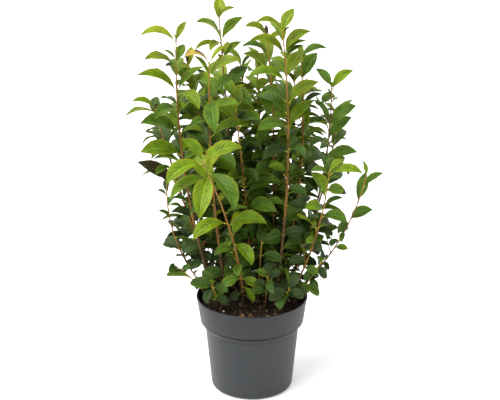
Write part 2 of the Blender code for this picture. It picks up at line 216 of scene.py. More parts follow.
def joinedMesh(name, placed, materials, sharp, maps=None):
    # placed: (points, faces, material indices) triples joined into one mesh
    points = []
    faces = []
    kinds = []
    for somePoints, someFaces, someKinds in placed:
        start = len(points)
        points += somePoints
        faces += [[index + start for index in face] for face in someFaces]
        kinds += someKinds
    mesh = bpy.data.meshes.new(name)
    mesh.from_pydata(points, [], faces)
    mesh.polygons.foreach_set("material_index", kinds)
    if maps is not None:
        corners = np.zeros(len(mesh.loops), dtype=np.int32)
        mesh.loops.foreach_get("vertex_index", corners)
        layer = mesh.uv_layers.new(name="leafMap")
        layer.data.foreach_set("uv", maps[corners].ravel())
    return smoothMesh(mesh, sharp, materials)


# Pot

potSizes = {
    "steps": 144,
    "outside": [(70.5, 7), (80.1, 109.2), (80.4, 111.2), (81.4, 112.8), (86.8, 120.9),
                (87.3, 121.8), (88.1, 122.2), (88.8, 123.0), (89.0, 124.4), (94.0, 161.6),
                (94.0, 163.0), (94.7, 163.5), (95.2, 164.3), (95.3, 166.2), (95.0, 167.4),
                (94.2, 168.0)],
    "inside": [(93.4, 168.0), (92.8, 167.5), (92.5, 166.4), (92.2, 161), (86.9, 123), (78.2, 106),
               (68.9, 8), (63.5, 3), (0, 3)],
    "baseCentre": 63.5,
    "baseRounding": 7,
    "roundingSteps": 6,
    "sharp": 50,
    "holeRadius": 5,
    "holeSides": 24,
    "holeCircle": 48,
    "holes": 6,
    "holeTurn": 33,
    "cutterDepth": 12,
    "dark": (36, 41, 45),
    "light": (41, 45, 49),
    "roughness": 0.45,
    "sheen": 0.45,
    "streaks": (180, (1, 1, 0.05), 4, 0.6),
    "grain": (900, (1, 1, 0.35), 2),
    "grainBump": (0.12, 0.0004),
    # painted shade by height, from shadeFrom to shadeTo: a darkened shoulder, a painted shadow line under
    # the collar's lower edge and a darker collar under the crown
    "shadeFrom": 0.1,
    "shadeTo": 0.13,
    "shades": ((0.0, 1.0), (0.3, 1.0), (0.42, 0.8), (0.65, 0.68), (0.69, 0.26), (0.79, 0.26),
               (0.83, 0.68), (1.0, 0.68)),
    "bands": (("potShoulder", 110, 120.4, 0.34), ("potLip", 120.4, 124.2, 0.12)),
}


def makePotMaterial(name, sheen):
    # streaked plastic with painted shade by height: a darkened shoulder, a painted shadow line at the foot
    # of the collar, and the collar darker above it where the crown shades it
    sizes = potSizes
    material = newMaterial(name, sizes["roughness"], sheen)
    tree = material.node_tree
    streaks = addRamp(material, noiseField(material, *sizes["streaks"]),
                      ((0.25, screenColour(*sizes["dark"])), (0.75, screenColour(*sizes["light"]))))
    place = addNode(tree, "TexCoord").outputs["Object"]
    height = addNode(tree, "SeparateXYZ", (("Vector", place),)).outputs["Z"]
    rise = addNode(tree, "MapRange", (("From Min", sizes["shadeFrom"]),
                                      ("From Max", sizes["shadeTo"]), ("Value", height)))
    # a ramp of painted shade over the height, multiplied into the streaked colour
    shade = addRamp(material, rise, [(stop, grey(value)) for stop, value in sizes["shades"]])
    setBase(material, blended(material, 1, streaks, shade, "MULTIPLY"))
    grain = noiseField(material, *sizes["grain"])
    addBump(material, grain.outputs["Fac"], *sizes["grainBump"])
    return material


def makePot():
    sizes = potSizes
    profile = [(0, 0)]
    for step in range(sizes["roundingSteps"]):
        angle = quarterTurn * step / sizes["roundingSteps"]
        profile.append((sizes["baseCentre"] + sizes["baseRounding"] * math.sin(angle),
                        sizes["baseRounding"] * (1 - math.cos(angle))))
    bm = spinProfile(profile + sizes["outside"] + sizes["inside"], sizes["steps"])
    materials = [makePotMaterial("potPlastic", sizes["sheen"])]
    for name, low, high, sheen in sizes["bands"]:
        for face in bm.faces:
            if low < face.calc_center_median().z / mm < high:
                face.material_index = len(materials)
        materials.append(makePotMaterial(name, sheen))
    mesh = smoothMesh(meshFrom("potBody", bm), sizes["sharp"], materials)
    blank = addObject("potBlank", mesh)
    cutters = []
    for number in range(sizes["holes"]):
        angle = math.tau * number / sizes["holes"] + math.radians(sizes["holeTurn"])
        radius = sizes["holeRadius"] * mm
        bm = bmesh.new()
        bmesh.ops.create_cone(bm, cap_ends=True, segments=sizes["holeSides"], radius1=radius,
                              radius2=radius, depth=sizes["cutterDepth"] * mm)
        bmesh.ops.translate(bm, verts=bm.verts, vec=flatRay(angle) * sizes["holeCircle"] * mm)
        cutters.append(addObject("drainCutter", meshFrom("drainCutter", bm)))
        cut = blank.modifiers.new("drain", "BOOLEAN")
        cut.operation = "DIFFERENCE"
        cut.solver = "EXACT"
        cut.object = cutters[-1]
    depsgraph = bpy.context.evaluated_depsgraph_get()
    cutMesh = bpy.data.meshes.new_from_object(blank.evaluated_get(depsgraph))
    for old in cutters + [blank]:
        bpy.data.objects.remove(old, do_unlink=True)
    finishPiece("potBody", smoothMesh(cutMesh, sizes["sharp"]), ["pot"])


# Peat

peatSizes = {
    "steps": 120,
    "rings": 44,
    "top": 153,
    "edgeRadius": 90.3,
    "sides": [(0, 3.4), (63, 3.4), (68.4, 8), (78.0, 106.3), (86.5, 123), (90.3, 149)],
    "dark": (20, 15, 11),
    "light": (54, 40, 28),
    "clods": 3.2,
    "clodWidth": 17,
    "grit": 1.5,
    "gritWidth": 3.2,
    "edgeDip": 3,
    "dipFrom": 0.9,
    "crumbs": 1100,
    "crumbReach": 0.975,
    "crumbSize": (0.7, 2.6),
    "chips": 90,
    "chipReach": 0.93,
    "beads": [(-10, -76), (-26, -71), (62, -63), (-2, -75), (30, -70), (-48, -40), (12, 60),
              (60, 20)],
    "beadRadius": 1.7,
    "clodPlaces": [(-1, -65, 7, 2), (12, -63, 5, 1), (-52, -28, 5, 1), (40, -50, 5, 2),
                   (24, 52, 7, 1)],
    "splinters": [(-15, -69, 6), (-13, -63, 5), (-18, -65, 4), (10, -71, 4), (28, -64, 5)],
    "seed": 5,
}
bitLooks = (
    ("peatCrumb", (30, 21, 16), 0.95, 0.2),
    ("peatBrown", (56, 42, 28), 0.92, 0.2),
    ("barkChip", (102, 74, 46), 0.85, 0.3),
    ("strawChip", (172, 134, 84), 0.8, 0.3),
    ("feedBead", (226, 218, 190), 0.5, 0.5),
    ("feedBeadYellow", (205, 170, 70), 0.5, 0.5),
)


def peatHeight(x, y):
    sizes = peatSizes
    point = Vector((x, y, 0)) / mm
    clods = noise.fractal(point / sizes["clodWidth"], 1.0, 2.0, 3) * sizes["clods"]
    gritPoint = point / sizes["gritWidth"] + Vector((9, 4, 2))
    grit = noise.fractal(gritPoint, 1.0, 2.0, 2) * sizes["grit"]
    out = math.hypot(x, y) / mm / sizes["edgeRadius"]
    dip = sizes["edgeDip"] * max(0, out - sizes["dipFrom"]) * 10
    return (sizes["top"] + clods + grit - dip) * mm


def makePeat():
    sizes = peatSizes
    top = [(sizes["edgeRadius"] * (1 - (step + 1) / sizes["rings"]), sizes["top"])
           for step in range(sizes["rings"])]
    bm = spinProfile(sizes["sides"] + top, sizes["steps"])
    for vert in bm.verts:
        if vert.co.z > (sizes["top"] - 0.5) * mm:
            vert.co.z = peatHeight(vert.co.x, vert.co.y)
    look = mottled("peatDark", screenColour(*sizes["dark"]), screenColour(*sizes["light"]), 130,
                   0.95, 0.2, bump=(0.9, 420, 0.0015), spread=0.2)
    finishPiece("peatBed", smoothMesh(meshFrom("peatBed", bm), 180, [look]), ["soil"])


def makePeatBits():
    sizes = peatSizes
    rng = random.Random(sizes["seed"])
    shapes = {}
    for name, steps in (("crumb", 1), ("bead", 2)):
        bm = bmesh.new()
        bmesh.ops.create_icosphere(bm, subdivisions=steps, radius=1)
        shapes[name] = templateArrays(bm)
    bm = bmesh.new()
    bmesh.ops.create_cube(bm, size=2)
    bmesh.ops.bevel(bm, geom=list(bm.edges), offset=0.3, offset_type="OFFSET", segments=1,
                    profile=0.5, affect="EDGES", material=-1)
    shapes["chip"] = templateArrays(bm)
    placed = []

    def anywhere(share):
        reach = sizes["edgeRadius"] * mm * math.sqrt(rng.random()) * share
        angle = rng.uniform(0, math.tau)
        return reach * math.cos(angle), reach * math.sin(angle)

    def place(shape, stretch, kind, spot, lift, jag):
        # one bit turned at random, its points pushed in and out by the share jag
        points, faces = shapes[shape][:2]
        turn = np.array([[rng.gauss(0, 1) for column in range(3)] for row in range(3)])
        turn = np.linalg.qr(turn)[0]
        if np.linalg.det(turn) < 0:
            turn[:, 0] *= -1
        points = points * np.array(stretch)
        points = points * (1 + jag * np.array([[rng.uniform(-1, 1)] for point in points]))
        points = points @ turn.T + np.array((*spot, peatHeight(*spot) + lift))
        placed.append((points.tolist(), faces, [kind] * len(faces)))

    for number in range(sizes["crumbs"]):
        spot = anywhere(sizes["crumbReach"])
        size = rng.uniform(*sizes["crumbSize"]) * mm * rng.uniform(0.6, 1)
        stretch = [size * rng.uniform(0.6, 1.5), size, size * rng.uniform(0.5, 1)]
        kind = rng.choices((0, 1, 2), (6, 3, 1))[0]
        place("crumb", stretch, kind, spot, size * 0.2, 0.22)
    for number in range(sizes["chips"]):
        spot = anywhere(sizes["chipReach"])
        stretch = [rng.uniform(2, 5.5) * mm, rng.uniform(0.8, 2) * mm, rng.uniform(0.5, 1) * mm]
        place("chip", stretch, rng.choice((1, 2, 2, 3)), spot, 0.6 * mm, 0.12)
    for x, y, size, kind in sizes["clodPlaces"]:
        stretch = [size * mm, size * 0.8 * mm, size * 0.6 * mm]
        place("bead", stretch, kind, (x * mm, y * mm), size * 0.25 * mm, 0.16)
    for x, y, size in sizes["splinters"]:
        place("chip", [size * mm, 0.9 * mm, 0.7 * mm], 3, (x * mm, y * mm), 2 * mm, 0.12)
    for number, (x, y) in enumerate(sizes["beads"]):
        place("bead", [sizes["beadRadius"] * mm] * 3, 4 if number % 3 else 5, (x * mm, y * mm),
              1.2 * mm, 0.03)
    mesh = joinedMesh("peatBits", placed, [tinted(*look) for look in bitLooks], 40)
    finishPiece("peatBits", mesh, ["soil"])


# Plant: the wands and their rule

Wand = namedtuple("Wand", "name foot bend tip radius bare leaf spin seed")
wands = (
    Wand("front_lime", (-14, -9), (-20, -74, 301), (-77, -120, 446), 3.0, 0.1, 76, 140, 47),
    Wand("front_tall", (38, 8), (74, -31, 405), (47, -60, 640), 3.7, 0.1, 74, 40, 17),
    Wand("front_left", (-43, 16), (-73, -33, 370), (-67, -70, 592), 3.5, 0.1, 72, 40, 17),
    Wand("front_right", (62, 12), (115, -39, 278), (123, -80, 417), 2.6, 0.12, 62, 140, 30),
    Wand("left_tall", (-62, 14), (-129, -8, 377), (-120, -30, 618), 3.7, 0.12, 76, 60, 22),
    Wand("right_tall", (57, 36), (131, 14, 337), (128, -15, 537), 3.2, 0.12, 68, 160, 35),
    Wand("right_edge", (70, 26), (164, 0, 258), (186, -35, 394), 2.2, 0.17, 50, 100, 30),
    Wand("left_side", (-58, 45), (-118, 13, 324), (-157, -15, 502), 2.9, 0.12, 70, 0, 24),
    Wand("left_low", (-72, 30), (-149, 24, 248), (-142, 5, 368), 2.2, 0.2, 46, 160, 24),
    Wand("top", (-18, 48), (-37, 36, 410), (-53, 20, 644), 3.7, 0.1, 72, 40, 17),
    Wand("short_left", (-44, 40), (-70, 15, 368), (-104, -10, 579), 3.1, 0.12, 66, 140, 47),
    Wand("middle", (0, 34), (-7, 3, 336), (-29, -25, 520), 3.2, 0.1, 70, 140, 47),
    Wand("middle_tall", (28, 49), (48, 30, 383), (24, 15, 612), 3.5, 0.1, 70, 140, 47),
    Wand("right_inner", (42, 44), (100, 19, 365), (78, -5, 581), 3.3, 0.1, 70, 40, 16),
    Wand("rear_left", (-31, 55), (-84, 110, 330), (-78, 150, 500), 3.2, 0.11, 70, 40, 19),
    Wand("rear_middle", (0, 72), (-2, 120, 340), (-18, 168, 520), 3.3, 0.11, 72, 160, 35),
    Wand("rear_right", (40, 62), (80, 104, 340), (72, 138, 525), 3.3, 0.11, 70, 140, 9),
    Wand("rear_left_edge", (-46, 60), (-124, 76, 280), (-150, 92, 430), 2.7, 0.12, 64, 80, 30),
    Wand("rear_right_edge", (56, 52), (124, 74, 290), (146, 88, 450), 2.7, 0.12, 64, 40, 1),
    Wand("rear_inner", (16, 28), (20, 62, 360), (8, 84, 548), 3.3, 0.12, 66, 140, 32),
    Wand("low_front_left", (-56, -14), (-62, -34, 178), (-66, -46, 204), 1.6, 0.2, 34, 100, 27),
    Wand("low_front", (22, -24), (24, -40, 186), (26, -52, 222), 1.7, 0.2, 36, 100, 27),
    Wand("low_front_right", (54, -22), (58, -36, 178), (62, -48, 198), 1.6, 0.2, 36, 100, 7),
    Wand("low_left", (-70, 2), (-98, -2, 198), (-128, -8, 222), 1.8, 0.34, 40, 160, 15),
    Wand("low_right", (74, 0), (96, -6, 196), (116, -16, 232), 1.8, 0.35, 36, 100, 41),
    Wand("low_middle", (10, 6), (12, -6, 200), (16, -14, 268), 2.0, 0.2, 42, 120, 7),
    Wand("low_left_back", (-67, 44), (-82, 50, 215), (-128, 60, 262), 2.0, 0.28, 42, 120, 32),
    Wand("low_rear_left", (-22, 72), (-40, 82, 205), (-54, 116, 242), 1.8, 0.25, 40, 60, 39),
    Wand("low_rear_right", (22, 70), (38, 84, 205), (60, 118, 238), 1.8, 0.25, 40, 140, 58),
)

habit = {
    "ground": 153.3,
    "internodes": (27, 32, 38, 42, 40, 33, 22),
    "leafShares": (0.5, 0.7, 0.92, 1.0, 1.0, 0.94, 0.7),
    "rises": (24, 30, 36, 42, 48, 56, 68),
    "droops": (34, 48, 60, 68, 74, 72, 44),
    "spinWander": math.radians(24),
    "sizeRange": (0.88, 1.06),
    "tiltWander": 0.1,
    "sagRange": (0.8, 1.2),
    "roll": 0.3,
    "faceOut": (0.9, 0.8, 0.7, 0.6, 0.5, 0.4, 0.3),
    "middle": 45,
    "lowestPair": 0.3,
    "root": 0.3,
    "tipRadius": 0.9,
    "taper": 0.8,
    "flare": 0.3,
    "flareHeight": 9,
    "budLength": 5,
    "twigChance": 0.08,
    "twigStretch": (0.15, 0.8),
    "twigWander": 0.5,
    "twigLength": 34,
    "twigRise": math.radians(52),
    "twigLeaf": 0.5,
    "turns": (0, 14, -14, 28, -28, 42, -42),
    "trims": (1.0, 0.84, 0.7),
    "ownPlace": 0.4,
    "axisSteps": 40,
    "roomRings": 14,
    "roomRadius": 1.2,
}

# finer twigs and small leaves that the rule is carried on to
finer = {
    "axilChance": 0.45,
    "axilLeaf": (9, 17),
    "axilRise": (45, 70),
    "axilDroop": (20, 50),
    "aimWander": 0.6,
    "grow": 0.1,
    "sprigChance": (1.0, 1.0, 0.7, 0.3, 0.1, 0.0, 0.0),
    "sprigLength": (24, 52),
    "sprigRise": (38, 66),
    "sprigRadius": 0.8,
    "sprigClear": 0.12,
    "sprigLeaf": (22, 31),
    "sprigWide": 0.34,
    "sprigLeafRise": 48,
    "sprigLeafDroop": 52,
    "longSprig": 36,
    "longPairs": ((0.36, 0.7), (0.68, 0.9), (0.97, 1.0)),
    "shortPairs": ((0.5, 0.8), (0.95, 1.0)),
    "sharedRung": 0.3,
    "fewestLeaves": 3,
    "clearFront": 0.3,
    "lowShares": 12,
    "lowStart": 0.55,
    "lowReach": 0.36,
    "fillLeaf": (0.72, 0.98),
    "fillFrom": 0.2,
    "fillTo": 0.88,
    "fillStep": 17,
    "openWands": ("right_edge", "right_tall", "front_right", "front_lime", "left_low", "left_side",
                  "rear_left_edge", "rear_right_edge"),
    "openShare": 0.3,
    "seedStep": 1000,
}


def along(wand, share):
    # the place on a wand's centre line and the way it heads there
    foot = Vector((*wand.foot, habit["ground"])) * mm
    bend = Vector(wand.bend) * mm
    tip = Vector(wand.tip) * mm
    rest = 1 - share
    point = foot * rest * rest + bend * 2 * share * rest + tip * share * share
    direction = (bend - foot) * rest + (tip - bend) * share
    return point, direction.normalized()


def wandLength(wand):
    places = [along(wand, step / 20)[0] for step in range(21)]
    return sum((b - a).length for a, b in zip(places, places[1:]))


def wandRadius(wand, share):
    foot = wand.radius * mm
    taper = max(0, min(share, 1)) ** habit["taper"]
    plain = foot + (habit["tipRadius"] * mm - foot) * taper
    height = max(0, share) * wandLength(wand)
    return plain * (1 + habit["flare"] * math.exp(-height / mm / habit["flareHeight"]))


def rungOf(wand, share):
    # how far up the leafy part a share of the whole wand lies
    return (share - wand.bare) / (1 - wand.bare)


def shareOf(wand, rung):
    return wand.bare + rung * (1 - wand.bare)


def stageValue(values, share):
    return float(np.interp(share, np.linspace(0, 1, len(values)), values))


def nodeShares(wand):
    # where the leaf pairs stand, from the tip down
    length = wandLength(wand)
    shares = [1.0]
    while True:
        step = stageValue(habit["internodes"], rungOf(wand, shares[-1])) * mm / length
        if shares[-1] - step < wand.bare + habit["lowestPair"] * step:
            return shares
        shares.append(shares[-1] - step)


# wide is half the leaf's width by its length
Leaf = namedtuple("Leaf", "root heading rise length droop roll wide", defaults=(0.23,))
Grown = namedtuple("Grown", "leaf wand rung kind tone")
proxyFaces = ((0, 1, 4), (0, 4, 2), (3, 4, 1), (3, 2, 4),
              (0, 5, 1), (0, 2, 5), (3, 1, 5), (3, 5, 2))


def arcPoint(leaf, share):
    bend = leaf.droop / leaf.length
    angle = leaf.rise - leaf.droop * share
    out = (math.sin(leaf.rise) - math.sin(angle)) / bend
    high = (math.cos(angle) - math.cos(leaf.rise)) / bend
    ahead = flatRay(leaf.heading)
    point = leaf.root + ahead * out + up * high
    return point, up * math.cos(angle) - ahead * math.sin(angle)


def proxyPoints(leaf, grow=0.0):
    # a thin eight-faced stand-in for a leaf, made larger all round by grow
    level = Vector((-math.sin(leaf.heading), math.cos(leaf.heading), 0))
    halfWidth = leaf.length * leaf.wide
    halfThick = leaf.length * 0.012 + grow
    middle, upward = arcPoint(leaf, 0.5)
    side = level * math.cos(leaf.roll) + upward * math.sin(leaf.roll)
    normal = upward * math.cos(leaf.roll) - level * math.sin(leaf.roll)
    edge = middle + normal * 0.4 * halfWidth
    crest = arcPoint(leaf, 0.38)[0]
    tip = arcPoint(leaf, 1 + grow / leaf.length)[0]
    return [leaf.root, edge + side * (halfWidth + grow), edge - side * (halfWidth + grow), tip,
            crest + normal * halfThick, crest - normal * halfThick]


def ballAround(points):
    low = np.min(np.array(points), axis=0)
    high = np.max(np.array(points), axis=0)
    return (low + high) / 2, np.linalg.norm(high - low) / 2


class Room:
    # what has been placed, so that the next leaf goes only where it touches nothing

    def __init__(self):
        self.centres = []
        self.reaches = []
        self.trees = []
        self.owners = []
        self.axisPoints = []
        self.axisOwners = []
        self.grown = []
        self.sprigs = []

    def add(self, points, faces, owner):
        centre, reach = ballAround(points)
        self.centres.append(centre)
        self.reaches.append(reach)
        self.trees.append(BVHTree.FromPolygons(points, faces))
        self.owners.append(owner)

    def addAxis(self, points, owner):
        self.axisPoints += [tuple(point) for point in points]
        self.axisOwners += [owner] * len(points)

    def keep(self, leaf, owner, wand, rung, kind, tone=None):
        self.add(proxyPoints(leaf), proxyFaces, owner)
        self.grown.append(Grown(leaf, wand.name, rung, kind, tone))

    def isFree(self, points, faces, ignored):
        centre, reach = ballAround(points)
        apart = np.linalg.norm(np.array(self.centres) - centre, axis=1)
        tree = BVHTree.FromPolygons(points, faces)
        for index in np.nonzero(apart < np.array(self.reaches) + reach)[0]:
            if self.owners[index] not in ignored and tree.overlap(self.trees[index]):
                return False
        return True

    def isOwn(self, point, owner):
        apart = np.linalg.norm(np.array(self.axisPoints) - np.array(point), axis=1)
        return self.axisOwners[int(np.argmin(apart))] == owner


def tubeProxy(places, radii):
    # a three-sided stand-in for a twig or stem
    points = []
    for (point, direction), radius in zip(places, radii):
        turn = up.rotation_difference(direction)
        points += [point + turn @ flatRay(side * math.tau / 3) * radius for side in range(3)]
    faces = []
    for start in range(0, 3 * len(places) - 3, 3):
        for side in range(3):
            after = (side + 1) % 3
            faces.append((start + side, start + after, start + 3 + after, start + 3 + side))
    return points, faces


def settleLeaf(room, leaf, owner, ignored, grow=0.3 * mm, ways=habit):
    # the leaf as it fits in the room, turned or trimmed if it has to be
    for trim in ways["trims"]:
        for turn in ways["turns"]:
            tried = leaf._replace(heading=leaf.heading + math.radians(turn),
                                  length=leaf.length * trim)
            if owner and not room.isOwn(arcPoint(tried, habit["ownPlace"])[0], owner):
                continue
            if room.isFree(proxyPoints(tried, grow), proxyFaces, ignored):
                return tried
    return None


def outwardRoll(point, heading, rung):
    # how far a leaf rolls to turn its face away from the middle of the plant
    out = Vector((point.x, point.y - habit["middle"] * mm, 0)).normalized()
    turned = out.x * math.sin(heading) - out.y * math.cos(heading)
    return turned * stageValue(habit["faceOut"], rung)


def ruleLeaves(wand, rng):
    leaves = []
    twigs = []
    wander = habit["spinWander"]
    low, high = habit["twigStretch"]
    for number, share in enumerate(nodeShares(wand)):
        point = along(wand, share)[0]
        radius = wandRadius(wand, share)
        rung = rungOf(wand, share)
        length = wand.leaf * mm * stageValue(habit["leafShares"], rung)
        rise = math.radians(stageValue(habit["rises"], rung))
        droop = math.radians(stageValue(habit["droops"], rung))
        heading = math.radians(wand.spin) + number * quarterTurn + rng.uniform(-wander, wander)
        for half in (0, 1):
            aim = heading + half * math.pi
            size = length * rng.uniform(*habit["sizeRange"])
            tilt = rise + rng.uniform(-habit["tiltWander"], habit["tiltWander"])
            sag = droop * rng.uniform(*habit["sagRange"])
            roll = outwardRoll(point, aim, rung) + rng.uniform(-habit["roll"], habit["roll"])
            root = point - flatRay(aim) * habit["root"] * radius
            leaves.append((Leaf(root, aim, tilt, size, sag, roll), number, rung))
            if rng.random() < habit["twigChance"] and low < rung < high:
                turned = aim + rng.uniform(-habit["twigWander"], habit["twigWander"])
                twigs.append((point, turned, rung))
    return leaves, twigs


# The camera, and the frame of columns and rows that it shows
view = {"eye": (-0.0034, -2.11, 1.1244), "pitch": 69.6, "focal": 1348, "width": 500, "height": 400}

